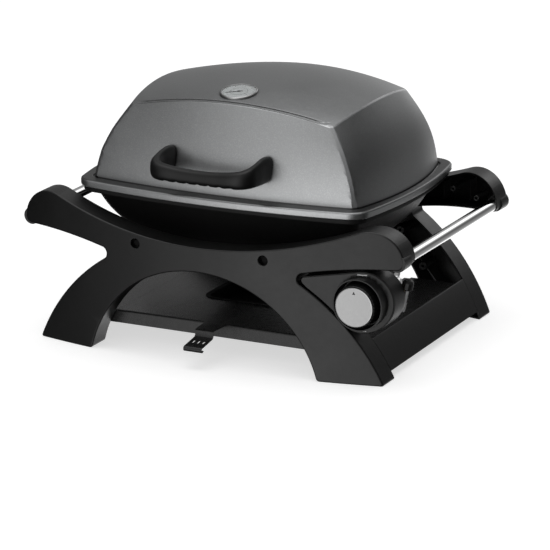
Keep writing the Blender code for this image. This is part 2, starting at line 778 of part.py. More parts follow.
def bowl(finish, parent):
    """The casting: a flange with a raised rim, sides that curve in to a flat bottom, and a drain spout."""
    top_z, half_x, half_y, corner = BOWL_SIDE[0]
    full = BOWL_SIDE[-1][0] - 4
    outer = []
    inner = []
    for number, (z, wide, deep, turn) in enumerate(BOWL_SIDE):
        depth = (z - full) / (top_z - full)
        bow_x, bow_y = BOWL_BOW[0] * depth, BOWL_BOW[1] * depth
        outer.append(bowed(wide, deep, bow_x, bow_y, turn, LID_FLANGE_Y * depth, level(z), 4))
        if number in BOWL_INNER:
            lift = BOWL_SKIN if number > 5 else 0.0
            sizes = (wide - BOWL_SKIN, deep - BOWL_SKIN, bow_x, bow_y, turn - BOWL_SKIN)
            inner.append(bowed(*sizes, LID_FLANGE_Y * depth, level(z + lift), 4))
    rim = bowed(half_x, half_y, *BOWL_BOW, corner, LID_FLANGE_Y, level(BOWL_RIM), 4)
    ledge = bowed(half_x - 15, half_y - 15, *BOWL_BOW, corner - 4, LID_FLANGE_Y, level(BOWL_RIM), 4)
    wide = DRAIN_RADIUS + DRAIN_WALL
    spout = [spout_ring(wide, DRAIN_Z + 6), spout_ring(wide, DRAIN_Z), spout_ring(DRAIN_RADIUS, DRAIN_Z),
             spout_ring(DRAIN_RADIUS, DRAIN_Z + 10)]
    made = solid("bowl", loft([rim] + outer + spout + inner[::-1] + [ledge], "joined"), finish, parent)
    cut(made, swept(*venturi_path(TUBE_RADIUS + 1.5, 130)))
    return made


def spout_ring(radius, z):
    """A circle with as many points as the bowl's rings, each in the direction of the ring's own point."""
    angles = [math.atan2(y, x) for x, y in round_box(1, 1, 0.999, 3, 4)]
    return [(radius * math.cos(a), radius * math.sin(a), z) for a in angles]


def venturi_path(radius, start_x):
    """The straight stretch of the burner's tube through the bowl's wall, as a path and its radii."""
    points = [(start_x, -20, BURNER_Z), (205, TUBE_START[2], BURNER_Z)]
    return points, [radius] * len(points)


def burner(finish, parent):
    """A ring burner with its mixing tube, which runs out through the bowl to the valve."""
    half_x, half_y, corner = BURNER_LOOP
    loop = [(x, y, BURNER_Z) for x, y in round_box(half_x, half_y, corner, 4, 2)]
    rings = []
    for number, here in enumerate(loop):
        ahead = Vector(loop[(number + 1) % len(loop)]) - Vector(loop[number - 1])
        out = Vector((ahead.y, -ahead.x, 0)).normalized()
        spokes = arc((0, 0), TUBE_RADIUS, 0, 315, 7)
        rings.append([Vector(here) + out * a + Vector((0, 0, b)) for a, b in spokes])
    made = solid("burner", loft(rings, "joined"), finish, parent)
    knob_x, knob_z = KNOB
    inside, wall, outside = TUBE_START
    narrow, wide, end = TUBE_MOUTH
    path = [(half_x - 2, inside, BURNER_Z), (150, wall, BURNER_Z), (205, outside, BURNER_Z), *TUBE_BENDS,
            (knob_x, narrow, knob_z + 2), (knob_x, wide, knob_z), (knob_x, end, knob_z)]
    mouth = TUBE_RADIUS + TUBE_WALL
    add(made, swept(path, [TUBE_RADIUS - 1] + [TUBE_RADIUS] * 5 + [mouth] * 2, 10))
    cut(made, rod((knob_x, 0, knob_z), (0, -1, 0), TUBE_RADIUS, 4 - wide, 8 - end, 10))
    return made


def igniter(finish, parent):
    """A ceramic stem on a bracket foot, with its electrode's tip beside the burner."""
    profile = [(-15, 1.2), (-1, 1.2), (0, 4.0), (22, 4.0), (22, 6.0), (25, 6.0)]
    made = turned(profile, (*IGNITER, BURNER_Z), IGNITER_LEAN, 8)
    return solid("igniter_electrode", made, finish, parent)


def grate(name, sign, finish, parent):
    """Half of the cooking grate: a plate with long slots, 2 mm clear of its other half."""
    low = BOWL_RIM - GRATE_DROP
    half_x, half_y, corner = GRATE
    edge = half_y + BOWL_BOW[1]
    edge_ring = bowed(half_x, half_y, *BOWL_BOW, corner, LID_FLANGE_Y, level(low), 5)
    outline = [(x, y) for x, y, _ in edge_ring if x > 1.0]
    outline.sort(key=lambda p: math.atan2(p[1], p[0]))
    outline = [(1.0, LID_FLANGE_Y - edge)] + outline + [(1.0, LID_FLANGE_Y + edge)]
    outline = [(sign * x, y) for x, y in outline]
    made = solid(name, prism(outline, "Z", low, low + GRATE_THICK), finish, parent)
    start, end, width = GRATE_SLOT
    near, far = sorted((sign * start, sign * end))
    slots = []
    for number in range(GRATE_SLOTS):
        y = LID_FLANGE_Y + (number - (GRATE_SLOTS - 1) / 2) * GRATE_PITCH
        slots.append(box((near, y - width / 2, low - 5), (far, y + width / 2, low + 15)))
    cut(made, merged(*slots))
    return made


def panel_outline(amount=0.0):
    """The control panel's outline in X and Z: a large and a small circle, the lines that touch both, and the
    leg's curve where it comes closer. amount moves it inwards."""
    big_x, big_z, big_radius = PANEL_ROUND
    tip_x, tip_z, tip_radius = PANEL_TIP
    big, small = big_radius - amount, tip_radius - amount
    line = Vector((big_x - tip_x, big_z - tip_z))
    lean = math.degrees(math.asin((big - small) / line.length))
    heading = math.degrees(math.atan2(line.y, line.x))
    start = heading - 90 - lean
    end = heading + 90 + lean
    round_end = arc((big_x, big_z), big, start, end, 14)
    tip = arc((tip_x, tip_z), small, end, start + 360, 4)
    outline = round_end + between(round_end[-1], tip[0], 2) + tip + between(tip[-1], round_end[0], 4)
    centre, radius = bulge_circle(notch_arc()[-1], FOOT_TOE, LEG_RISE)
    clear = radius + PANEL_GAP + amount
    for number, point in enumerate(outline):
        spoke = Vector(point) - centre
        if spoke.length < clear:
            outline[number] = tuple(centre + spoke.normalized() * clear)
    return outline


def bowed_prism(outline, near, far):
    """A plate or plug between two depths behind the front frame's bowed face."""
    return bend(prism(outline, "Y", near, far), -1, PANEL_FACET)


def knob_rod(radius, start, end, sides):
    """A rod on the knob's axis. start and end are distances in front of the well's floor."""
    return rod((KNOB[0], WELL_FLOOR, KNOB[1]), (0, -1, 0), radius, start, end, sides)


def control_housing(finish, parent):
    """A bowed shell, open at the back, with a flat-floored round well for the knob."""
    near = FASCIA_THICK + GAP
    made = solid("control_housing", bowed_prism(panel_outline(), near, HOUSING_DEPTH), finish, parent)
    cavity = cut(made, bowed_prism(panel_outline(HOUSING_WALL), near + HOUSING_WALL, HOUSING_DEPTH + 5))
    cut(cavity, knob_rod(WELL_RADIUS + HOUSING_WALL, -WELL_WALL, 40, 24))
    cut(made, knob_rod(WELL_RADIUS, 0, 40, 24))
    cut(made, knob_rod(STEM_RADIUS + 1.5, -10, 10, 12))
    return made


def control_fascia(finish, parent):
    made = solid("control_fascia", bowed_prism(panel_outline(2 * GAP), 0.0, FASCIA_THICK), finish, parent)
    cut(made, knob_rod(WELL_RADIUS, -10, 40, 24))
    return made


def knob(dark, metal, parent, place):
    """A skirted cylinder, hollow behind for the stem, with a metal disc let into its front."""
    well = (KNOB[0], WELL_FLOOR, KNOB[1])
    front = (0, -1, 0)
    lip = KNOB_FRONT - 2
    seat = KNOB_FRONT - 4
    bore = STEM_RADIUS + 0.8
    inside = KNOB_GRIP - 2
    shell = [(KNOB_BACK, bore), (KNOB_BACK, KNOB_SKIRT), (KNOB_BACK + 3, KNOB_SKIRT),
             (KNOB_BACK + 5, KNOB_GRIP), (lip, KNOB_GRIP), (lip, inside), (seat, inside), (seat, 2.0),
             (22, 2.0), (22, bore)]
    solid("knob_body", turned(shell, well, front, 30, "joined"), dark, parent, place)
    cap = [(seat + GAP, inside - GAP), (KNOB_FRONT - 1.0, inside - GAP), (KNOB_FRONT, inside - 1.4)]
    solid("knob_cap", turned(cap, well, front, 30), metal, parent, place)


def valve_stem(finish, parent, place):
    well = (KNOB[0], WELL_FLOOR, KNOB[1])
    made = turned([(-7.0, 3.0), (-7.0, STEM_RADIUS), (21.2, STEM_RADIUS)], well, (0, -1, 0), 10)
    return solid("valve_stem", made, finish, parent, place)


def gas_valve(finish, parent):
    """A turned body, hollow in front for the stem, with a jet towards the mixing tube and a side port."""
    well = (KNOB[0], WELL_FLOOR, KNOB[1])
    bore = STEM_RADIUS + 1.0
    profile = [(3.5, bore), (3.5, 16.0), (6.5, 16.0), (6.5, 12.5), (36, 12.5), (38, 7.0), (46, 7.0),
               (46, 3.5), (58, 3.5), (58, 1.2), (16.0, 1.2), (16.0, bore)]
    made = solid("gas_valve", turned(profile, well, (0, 1, 0), 12, "joined"), finish, parent)
    end = INLET_START - GAP
    port = [(KNOB[0] + 6, -165, KNOB[1] + 6), (254, -155, 136), (256, INLET_Y, INLET_Z),
            (end, INLET_Y, INLET_Z)]
    add(made, swept(port, [5] * 4, 8))
    return made


def gas_inlet(metal, dark, parent):
    """The union behind the housing: a hex, a plastic elbow and the tail that a hose pushes on to."""
    hexagon = [(0, 5.0), (5, 5.0), (5, 8.5), (16, 8.5), (16, 6.0), (20.5, 6.0)]
    solid("gas_inlet", turned(hexagon, (INLET_START, INLET_Y, INLET_Z), (1, 0, 0), 6), metal, parent)
    cap = [(-8, 6.0), (-6, 8.5), (3, 8.5), (7, 6.0), (8.5, 2.5)]
    solid("inlet_elbow", turned(cap, INLET_ELBOW, INLET_LEAN, 12), dark, parent)
    tail = [(-40, 3.0), (-38, 4.4), (-28, 4.4), (-27, 3.8), (-8.4, 3.8)]
    solid("inlet_tail", turned(tail, INLET_ELBOW, INLET_LEAN, 10), metal, parent)


def tray_shelf(name, side, finish, parent):
    """A plate from the tray to the side panel. The tray's edge slides on a ledge along its inner side, its
    front carries on the tray's lip, and an ear at the front stands against the frame's boss."""
    wall = TRAY_HALF + SHELF_GAP
    low = TRAY_TOP - SHEET
    ledge = low - GAP
    inner = TRAY_HALF - SHELF_LEDGE
    section = [(inner, ledge - SHEET), (wall + SHEET, ledge - SHEET), (wall + SHEET, low),
               (SHELF_REACH, low), (SHELF_REACH, TRAY_TOP), (wall, TRAY_TOP), (wall, ledge), (inner, ledge)]
    section = [(side * x, z) for x, z in section]
    made = solid(name, prism(section, "Y", -SHELF_DEPTH, SHELF_DEPTH), finish, parent)
    near, far = sorted((side * wall, side * SHELF_LIP_END))
    add(made, box((near, TRAY_FRONT, low), (far, 1 - SHELF_DEPTH, TRAY_TOP)))
    add(made, box((near, TRAY_FRONT, TRAY_TOP - TRAY_LIP), (far, TRAY_FRONT + SHEET, TRAY_TOP - 0.2)))
    boss_x, boss_z = SCREW_BOSSES[1]
    reach = rim_y(boss_x) - GAP
    near, far = sorted((side * (boss_x - SHELF_EAR), side * (boss_x + SHELF_EAR)))
    add(made, box((near, -reach, low + 0.2), (far, SHEET - reach, boss_z + SCREW_BOSS)))
    add(made, box((near + 0.3, 0.3 - reach, low + 0.1), (far - 0.3, 5 - SHELF_DEPTH, TRAY_TOP - 0.1)))
    return made


def slide_tray(finish, parent, place):
    """A sheet with a lip bent down at the front, a window for the drip pan and a pull tab."""
    low = TRAY_TOP - SHEET
    profile = [(TRAY_FRONT, TRAY_TOP - TRAY_LIP), (TRAY_FRONT + SHEET, TRAY_TOP - TRAY_LIP),
               (TRAY_FRONT + SHEET, low), (TRAY_BACK, low), (TRAY_BACK, TRAY_TOP), (TRAY_FRONT, TRAY_TOP)]
    made = solid("slide_tray", prism(profile, "X", -TRAY_HALF, TRAY_HALF), finish, parent, place)
    add(made, pull_tab())
    half_x, half_y = PAN_HALF
    window = round_box(half_x - 5, half_y - 5, PAN_CORNER - 5, 3)
    cut(made, prism(window, "Z", low - 5, TRAY_TOP + 5))
    slots = [box((x - 1.5, TAB_REACH + 16, 20), (x + 1.5, TAB_REACH + 26, 46)) for x in TAB_SLOTS]
    cut(made, merged(*slots))
    return made


def pull_tab():
    """The tab's side view pushed along its width: flat, bent down, sloping forward and rolled at its end."""
    y, z, radius = TAB_ROLL
    outer = [(TRAY_FRONT + 4, TRAY_TOP), *TAB_LINE, *arc((y, z), radius, 80, 330, 6)]
    inner = []
    for number, here in enumerate(outer):
        ahead = Vector(outer[min(number + 1, len(outer) - 1)]) - Vector(outer[max(number - 1, 0)])
        ahead.normalize()
        inner.append((here[0] - ahead.y * SHEET, here[1] + ahead.x * SHEET))
    rings = []
    for x in (-1, 1):
        ring = []
        for y, z in outer + inner[::-1]:
            flare = TAB_FLARE if y > TRAY_FRONT else 0.0
            ring.append((x * (TAB_HALF + flare), y, z))
        rings.append(ring)
    return loft(rings)


def drip_pan(finish, parent, place):
    """A foil pan with a flat rim that rests on the edge of the tray's window."""
    half_x, half_y = PAN_HALF
    top = TRAY_TOP + GAP + 1.0
    floor = top - PAN_DEPTH

    def ring(shrink, z):
        return [(x, y, z) for x, y in round_box(half_x - shrink, half_y - shrink, PAN_CORNER - shrink, 3)]

    outer = [ring(0, top), ring(0, top - 1.0), ring(PAN_RIM, top - 1.0), ring(2 * PAN_RIM - 1, floor)]
    inner = [ring(2 * PAN_RIM, floor + 1.0), ring(PAN_RIM + 1.2, top)]
    return solid("drip_pan", loft(inner + outer), finish, parent, place)


def main():
    clear_scene()
    root = empty("grill", (0, CENTRE_Y, 0))
    black = material("black_moulding", (0.035, 0.035, 0.037), 0.5)
    grey = material("grey_enamel", (0.17, 0.17, 0.175), 0.42, 0.4)
    bowl_black = material("black_casting", (0.02, 0.02, 0.02), 0.5, 0.2)
    chrome = material("chrome", (0.8, 0.8, 0.82), 0.08, 1.0)
    brushed = material("brushed_steel", (0.55, 0.55, 0.56), 0.3, 1.0)
    steel = material("tray_steel", (0.12, 0.12, 0.125), 0.35, 0.6)
    iron = material("cast_iron", (0.03, 0.03, 0.03), 0.65, 0.3)
    brass = material("brass", (0.55, 0.42, 0.2), 0.3, 1.0)
    dial_face = material("dial_face", (0.75, 0.75, 0.75), 0.5)
    needle = material("needle", (0.02, 0.02, 0.02), 0.5)
    ceramic = material("ceramic", (0.8, 0.78, 0.74), 0.4)
    lens = material("lens", (0.9, 0.92, 0.93), 0.05, 0.0, 0.3)

    lid_place = (0, HINGE_Y, HINGE_Z)
    lid_axis = empty("lid_axis", lid_place, root)
    gauge_place, _ = gauge_frame()
    needle_axis = empty("needle_axis", gauge_place - Vector(lid_place), lid_axis)
    knob_place = (KNOB[0], WELL_FLOOR, KNOB[1])
    knob_axis = empty("knob_axis", knob_place, root)
    tray_place = (0, TRAY_FRONT, TRAY_TOP)
    tray_axis = empty("tray_axis", tray_place, root)

    lid_shell(grey, lid_axis, lid_place)
    lid_handle(black, lid_axis, lid_place)
    gauge(brushed, dial_face, needle, lens, lid_axis, lid_place, needle_axis)
    bowl(bowl_black, root)
    burner(brushed, root)
    igniter(ceramic, root)
    gas_valve(brass, root)
    gas_inlet(chrome, black, root)
    control_housing(black, root)
    control_fascia(black, root)
    valve_stem(brushed, knob_axis, knob_place)
    knob(black, brushed, knob_axis, knob_place)
    slide_tray(steel, tray_axis, tray_place)
    drip_pan(brushed, tray_axis, tray_place)
    for word, side in (("front", -1), ("rear", 1)):
        frame(f"{word}_frame", side, black, root)
        for hand, sign in (("left", -1), ("right", 1)):
            frame_bolt(f"frame_bolt_{word}_{hand}", side, sign, brushed, root)
            frame_nut(f"frame_nut_{word}_{hand}", side, sign, brushed, root)
    for hand, sign in (("left", -1), ("right", 1)):
        handle_screw(f"lid_handle_screw_{hand}", sign, brushed, lid_axis, lid_place)
        hinge_leaf(f"hinge_leaf_{hand}", sign, bowl_black, lid_axis, lid_place)
        hinge_bracket(f"hinge_bracket_{hand}", sign, bowl_black, root)
        hinge_pin(f"hinge_pin_{hand}", sign, brushed, root)
        grate(f"cooking_grate_{hand}", sign, iron, root)
        cradle(f"bowl_cradle_{hand}", sign, bowl_black, root)
        side_panel(f"side_panel_{hand}", sign, black, root)
        carrying_bar(f"carrying_bar_{hand}", sign, chrome, root)
        tray_shelf(f"tray_shelf_{hand}", sign, steel, root)


main()
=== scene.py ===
"""Looks of a portable tabletop gas grill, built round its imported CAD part.

Pieces are built in millimetres in the part's own frame and turned into metres as each mesh is made.
X runs to the right, Y to the back and Z up.
"""

import json
import math

import bmesh
import bpy
from mathutils import Matrix, Vector

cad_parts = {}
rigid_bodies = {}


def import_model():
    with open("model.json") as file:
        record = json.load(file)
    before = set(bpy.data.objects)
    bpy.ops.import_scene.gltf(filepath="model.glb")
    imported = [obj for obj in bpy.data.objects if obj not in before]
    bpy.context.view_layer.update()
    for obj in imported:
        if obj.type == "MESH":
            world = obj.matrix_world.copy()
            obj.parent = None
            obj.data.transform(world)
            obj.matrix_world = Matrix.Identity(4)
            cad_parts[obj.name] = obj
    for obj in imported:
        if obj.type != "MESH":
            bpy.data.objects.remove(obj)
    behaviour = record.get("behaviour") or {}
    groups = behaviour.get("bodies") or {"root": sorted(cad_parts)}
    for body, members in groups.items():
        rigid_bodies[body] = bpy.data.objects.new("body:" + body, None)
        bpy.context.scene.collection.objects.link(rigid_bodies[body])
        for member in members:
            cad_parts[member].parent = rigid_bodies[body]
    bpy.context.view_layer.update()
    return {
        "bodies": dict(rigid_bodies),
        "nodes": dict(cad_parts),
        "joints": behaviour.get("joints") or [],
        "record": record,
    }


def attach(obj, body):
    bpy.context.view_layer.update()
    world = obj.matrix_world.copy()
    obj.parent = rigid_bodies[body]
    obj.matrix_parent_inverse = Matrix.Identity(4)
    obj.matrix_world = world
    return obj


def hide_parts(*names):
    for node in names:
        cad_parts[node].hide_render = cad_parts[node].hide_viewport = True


MM = 0.001
GAP = 0.4

# Frames: one moulding at the front and its mirror image at the back. Their faces bow outwards. The notch is
# (x, z, radius), the arch is (z of its centre, radius), and a bolt's recess is (radius, depth).
FACE_REACH = 235.7
FACE_BOW = 4.436e-4
FRAME_DEPTH = 40.6
FRAME_WALL = 3.0
TOP_EDGE = (180.5, 683.8)
ARM_ROOT = (240.0, 224.7)
ARM_TIP = (307.0, 184.0)
ARM_HEEL = (298.5, 172.9)
NOTCH = (164.0, 150.0, 9.5)
FOOT_TOE = (281.0, 0.0)
LEG_RISE = 14.0
ARCH = (-45.5, 189.0)
ARM_RISES = (20.0, 2.5, -3.7)
BOLT_X = 103.5
BOLT_Z = 173.0
BOLT_BOSS = 12.0
BOLT_RECESS = (7.5, 10.0)
BOLT_HOLE = 3.8
SCREW_BOSSES = ((133.0, 117.0), (174.0, 66.0))
SCREW_BOSS = 6.5

# Carrying bars and side panels.
BAR = (296.5, 183.2)
BAR_RADIUS = 9.0
BAR_INSET = 14.0
PANEL_LOW = 12.0
PANEL_HIGH = 59.0
PANEL_THICK = 3.0

# Lid: a bowed flange, a ledge, walls that lean in and a crowned top. An outline is (half width, half depth,
# bow of its sides, bow of its front and back, corner radius). The crown rises across, and front to back.
LID_BOTTOM = 232.4
LID_LEDGE = 243.5
LID_FLANGE = (229.5, 171.3, 18.3, 22.6, 21.0)
LID_WALL_FOOT = (212.5, 151.0, 22.0, 18.0, 10.0)
LID_CREST = (163.5, 134.0, 12.8, 10.7, 8.0)
LID_CREST_Z = 352.1
LID_CROWN = (21.3, 16.3)
LID_FLANGE_Y = -2.0
LID_CREST_Y = 5.8
LID_BULGE = 6.0
LID_SIDE_BULGE = 9.0
LID_SKIN = 4.0

# Gauge, on the crown of the lid.
GAUGE_Y = -98.0
GAUGE_RADIUS = 28.0

# Screws that hold the lid's handle.
HANDLE_SCREW = (77.5, 290.0)

# Bowl: (height, half width, half depth, corner radius) down its outside.
BOWL_RIM = 231.4
BOWL_SIDE = (
    (224.5, 226.0, 168.0, 20.0),
    (223.5, 211.0, 151.0, 16.0),
    (216.0, 208.0, 149.0, 16.0),
    (196.0, 200.0, 140.0, 20.0),
    (177.0, 189.0, 129.0, 26.0),
    (160.0, 174.0, 114.0, 34.0),
    (140.0, 150.0, 92.0, 42.0),
    (120.0, 120.0, 66.0, 44.0),
    (106.0, 86.0, 44.0, 40.0),
)
BOWL_INNER = (1, 3, 5, 6, 7, 8)
BOWL_BOW = (18.0, 17.0)
BOWL_SKIN = 3.5
DRAIN_RADIUS = 13.0
DRAIN_WALL = 3.0
DRAIN_Z = 93.0
TUBE_HOLE = ((130.0, -20.0, 148.0), (205.0, -45.0, 148.0))
TUBE_HOLE_RADIUS = 10.5

# Gas control, in the right-hand notch. The panel is drawn round two circles, each (x, z, radius).
KNOB = (247.5, 123.0)
PANEL_ROUND = (249.0, 123.0, 45.5)
PANEL_TIP = (166.0, 149.5, 6.0)
PANEL_GAP = 2.5
HOUSING_DEPTH = 38.0
FASCIA_THICK = 2.0
HOUSING_WALL = 2.8
WELL_FLOOR = -196.0
WELL_RADIUS = 36.5
WELL_WALL = 3.0
KNOB_SKIRT = 33.0
KNOB_GRIP = 31.5
KNOB_BACK = 5.5
KNOB_FRONT = 37.6
STEM_RADIUS = 5.0
KNOB_PLACE = (KNOB[0], WELL_FLOOR, KNOB[1])
FORWARD = (0, -1, 0)

# Tray.
TRAY_TOP = 51.0
TRAY_HALF = 161.0
TRAY_FRONT = -178.0
TRAY_BACK = 150.0
TRAY_LIP = 20.0
SHEET = 1.5
TAB_REACH = -252.0
TAB_LINE = ((-212.0, 51.0), (-214.0, 49.0), (-214.0, 42.0), (-216.0, 40.0), (-247.0, 35.5))
TAB_HALF = 14.8
TAB_FLARE = 3.0
TAB_ROLL = (-247.8, 31.5, 4.2)
TAB_SLOTS = (-8.0, 0.0, 8.0)
PAN_HALF = (80.0, 68.0)
PAN_CORNER = 22.0
PAN_DEPTH = 24.0

# The mirror-image frames are centred on Y 0, and the tab makes the grill longer in front of them.
CENTRE_Y = -(TAB_REACH + FACE_REACH) / 2

# Details that only the looks have. First the frames: their soft edges, the strips that bow them, and what
# stiffens their hollow backs. A rib is its start, its end and its depth behind the face.
EDGE_ROUND = 2.2
FRAME_CORNER = 5.0
STRIP = 9.0
BOLT_CLEAR = 3.4
BOSS_TALL = FRAME_DEPTH - GAP - 0.6
EXTRA_BOSSES = ((226.0, 197.0), (268.0, 189.0))
RIB_HALF = 0.9
RIBS = (
    ((117.0, 176.0), (196.0, 196.0), 30.0),
    ((-88.0, 158.0), (88.0, 158.0), 26.0),
    ((150.0, 92.0), (215.0, 20.0), 30.0),
    ((206.0, 176.0), (206.0, 203.0), 30.0),
    ((252.0, 180.0), (252.0, 212.0), 26.0),
)

# Lid: its holes, the groove round the foot of its walls as (width, depth), how far its front corners are cut,
# the band of heights round the ledge where shade is painted into the enamel, and the stepped crease along the
# crown's front. Each ring of the crease is (share of the way out, drop at the front).
GAUGE_HOLE = 5.2
HANDLE_SCREW_HOLE = 3.0
CHANNEL = (3.6, 2.8)
FRONT_CUT = 4.8
LEDGE_SHADE = (-1.6, -0.3, 0.3, 1.0)
CREASE = (
    (0.925, 0.0), (0.936, 0.0), (0.940, 0.1), (0.942, 2.2), (0.952, 2.6), (0.960, 1.0),
    (0.966, 0.6), (0.982, 0.6), (0.985, 1.8), (0.991, 2.0), (0.995, 1.0),
)

# Handle: stations along its left half, then its middle, as (x, y, middle height, half height, half thickness,
# direction in plan). There are HANDLE_STEPS rings from one station to the next.
HANDLE_PATH = (
    (-78.0, -163.5, 290.0, 16.0, 7.5, -90),
    (-78.0, -168.5, 290.2, 18.8, 7.5, -90),
    (-78.0, -182.0, 290.0, 19.0, 7.0, -89),
    (-77.8, -202.0, 289.0, 16.6, 6.8, -82),
    (-73.8, -219.0, 287.4, 14.4, 8.6, -52),
    (-60.0, -227.0, 285.2, 12.8, 9.8, -16),
    (-30.0, -228.0, 283.2, 11.0, 9.0, -3),
)
HANDLE_SAG = (0.0, -228.0, 282.7, 10.4, 8.8, 0)
HANDLE_STEPS = 7
HANDLE_SQUARE = 2.6
HANDLE_SIDES = 40

# Finger grooves under the handle: pitch, depth, how far out they reach, and the length of their run-out.
GROOVES = (17.0, 1.5, 62.0, 8.0)
GROOVE_TOP = -0.35

# Gauge: how many ticks, the angle of the first and the step to the next, in degrees.
TICKS = (25, 210, 10)
LONG_TICK_EVERY = 4
NEEDLE_START = 120

# Knob: its flutes, and the marks round it as (x, z, width, height, turn in degrees).
FLUTES = 36
FLUTE_DEPTH = 0.5
MARKS = (
    (249.0, 164.5, 14.0, 1.6, 0.0),
    (211.0, 136.8, 1.4, 3.6, -28.0),
    (208.6, 121.5, 2.6, 1.6, 0.0),
    (252.0, 81.8, 6.5, 1.6, 0.0),
)

# Tray: how much the sheet widens at each side, and the radius of the bend at its front.
TRAY_EASE = 1.1
TRAY_BEND = 3.0

# How many sides the largest turned pieces have.
ROUND = 96

# Camera.
CAMERA_AT = (2.094566, -4.287556, 1.482591)
CAMERA_TURN = 25.876
CAMERA_TILT = 16.38
LENS = 216.2

# Light from all round: (azimuth from the front towards the right, elevation, tightness, strength).
SKY = 0.03
LOBES = (
    (0.0, 90.0, 9.0, 3.0),
    (-50.0, 50.0, 8.0, 0.4),
    (-16.0, -16.0, 23.0, 1.45),
    (4.0, -22.0, 12.0, 0.9),
    (0.0, 15.0, 8.0, 1.3),
    (64.0, 24.0, 24.0, 0.45),
    (206.0, 18.0, 10.0, 0.26),
    (190.0, -26.0, 17.0, 1.6),
    (140.0, -12.0, 20.0, 0.3),
    (172.0, 27.0, 44.0, 1.7),
    (188.0, 6.0, 120.0, 1.2),
)
FLOOR_GLOW = 0.62
FLOOR_SHADE = 0.56


def merged(*parts):
    """Several separate shapes in one bmesh."""
    whole = bmesh.new()
    for part in parts:
        scratch = bpy.data.meshes.new("scratch")
        part.to_mesh(scratch)
        part.free()
        whole.from_mesh(scratch)
        bpy.data.meshes.remove(scratch)
    return whole


def moved(bm, matrix):
    bmesh.ops.transform(bm, matrix=matrix, verts=bm.verts)
    return bm


def arc(centre, radius, start, end, steps):
    """Points on a circle from one angle to another, in degrees, both ends included."""
    angles = [math.radians(start + (end - start) * i / steps) for i in range(steps + 1)]
    return [(centre[0] + radius * math.cos(a), centre[1] + radius * math.sin(a)) for a in angles]


def bulge_circle(start, end, rise):
    """The centre and radius of the arc from start to end that stands rise to the left of its chord."""
    a, b = Vector(start), Vector(end)
    half = (b - a) / 2
    left = Vector((-half.y, half.x)).normalized()
    radius = (half.length_squared + rise * rise) / (2 * rise)
    return a + half + left * (rise - radius), radius


def bulge(start, end, rise, steps):
    """Points along that arc, both ends included."""
    centre, radius = bulge_circle(start, end, rise)
    spoke = Vector(start) - centre
    sweep = -2 * math.asin((Vector(end) - Vector(start)).length / 2 / radius)
    return [tuple(centre + Matrix.Rotation(sweep * i / steps, 2) @ spoke) for i in range(steps + 1)]


def inset(outline, amount):
    """The outline of a counter-clockwise loop moved inwards by amount, corner by corner."""
    points = [Vector(p) for p in outline]
    result = []
    for before, here, after in zip(points[-1:] + points[:-1], points, points[1:] + points[:1]):
        one = (here - before).normalized()
        two = (after - here).normalized()
        normal = (Vector((-one.y, one.x)) + Vector((-two.y, two.x))).normalized()
        lean = max(0.5, normal.dot(Vector((-one.y, one.x))))
        result.append(tuple(here + normal * (amount / lean)))
    return result


def loft(rings, ends="flat"):
    """A skin over rings of equal length. ends is flat, joined, or point where each end is one point."""
    bm = bmesh.new()
    made = []
    for ring in rings:
        if len(ring) == 1:
            made.append([bm.verts.new(ring[0])] * len(rings[1]))
        else:
            made.append([bm.verts.new(p) for p in ring])
    pairs = list(zip(made, made[1:]))
    if ends == "joined":
        pairs.append((made[-1], made[0]))
    for low, high in pairs:
        for i in range(len(low)):
            j = (i + 1) % len(low)
            corners = []
            for vert in (low[i], low[j], high[j], high[i]):
                if vert not in corners:
                    corners.append(vert)
            bm.faces.new(corners)
    if ends == "flat":
        bm.faces.new(made[0])
        bm.faces.new(made[-1])
    return bm


def prism(outline, axis, low, high):
    """An outline pushed along an axis: X takes (y, z) points, Y takes (x, z) and Z takes (x, y)."""
    def place(p, depth):
        return {"X": (depth, p[0], p[1]), "Y": (p[0], depth, p[1]), "Z": (p[0], p[1], depth)}[axis]

    return loft([[place(p, low) for p in outline], [place(p, high) for p in outline]])


def turned(profile, place, axis, sides, ends="flat"):
    """A shape turned about an axis through place. profile holds (distance along the axis, radius)."""
    turn = facing(axis)
    rings = []
    for along, radius in profile:
        flat = arc((0, 0), radius, 0, 360 - 360 / sides, sides - 1)
        rings.append([Vector(place) + turn @ Vector((x, y, along)) for x, y in flat])
    return loft(rings, ends)


def facing(axis):
    """The turn that brings Z to an axis."""
    return Vector((0, 0, 1)).rotation_difference(Vector(axis)).to_matrix()


def rod(place, axis, radius, low, high, sides=16):
    return turned([(low, radius), (high, radius)], place, axis, sides)


def swept(path, radii, sides=12):
    """A round tube along a path, with a radius at each point. Its rings stay square to the path."""
    points = [Vector(p) for p in path]
    rings = []
    side = None
    for i, here in enumerate(points):
        ahead = points[min(i + 1, len(points) - 1)] - points[max(i - 1, 0)]
        ahead.normalize()
        side = ahead.orthogonal() if side is None else side - ahead * side.dot(ahead)
        side.normalize()
        up = ahead.cross(side)
        spokes = arc((0, 0), radii[i], 0, 360 - 360 / sides, sides - 1)
        rings.append([here + side * x + up * y for x, y in spokes])
    return loft(rings)


def round_box(half_x, half_y, corner, corner_steps=3, side_steps=1, centre=(0, 0)):
    """A rectangle with round corners, counter-clockwise from the right-hand side."""
    points = []
    for number, (sx, sy) in enumerate(((1, 1), (-1, 1), (-1, -1), (1, -1))):
        middle = (centre[0] + sx * (half_x - corner), centre[1] + sy * (half_y - corner))
        quarter = arc(middle, corner, 90 * number, 90 * number + 90, corner_steps)
        if points:
            points += between(points[-1], quarter[0], side_steps)
        points += quarter
    return points + between(points[-1], points[0], side_steps)


def between(start, end, steps):
    return [tuple(Vector(start).lerp(Vector(end), i / steps)) for i in range(1, steps)]


def face_y(x):
    """How far the face of a frame is from the centre plane."""
    return FACE_REACH - FACE_BOW * x * x


def rim_y(x):
    """How far the inner edge of a frame is from the centre plane."""
    return face_y(x) - FRAME_DEPTH


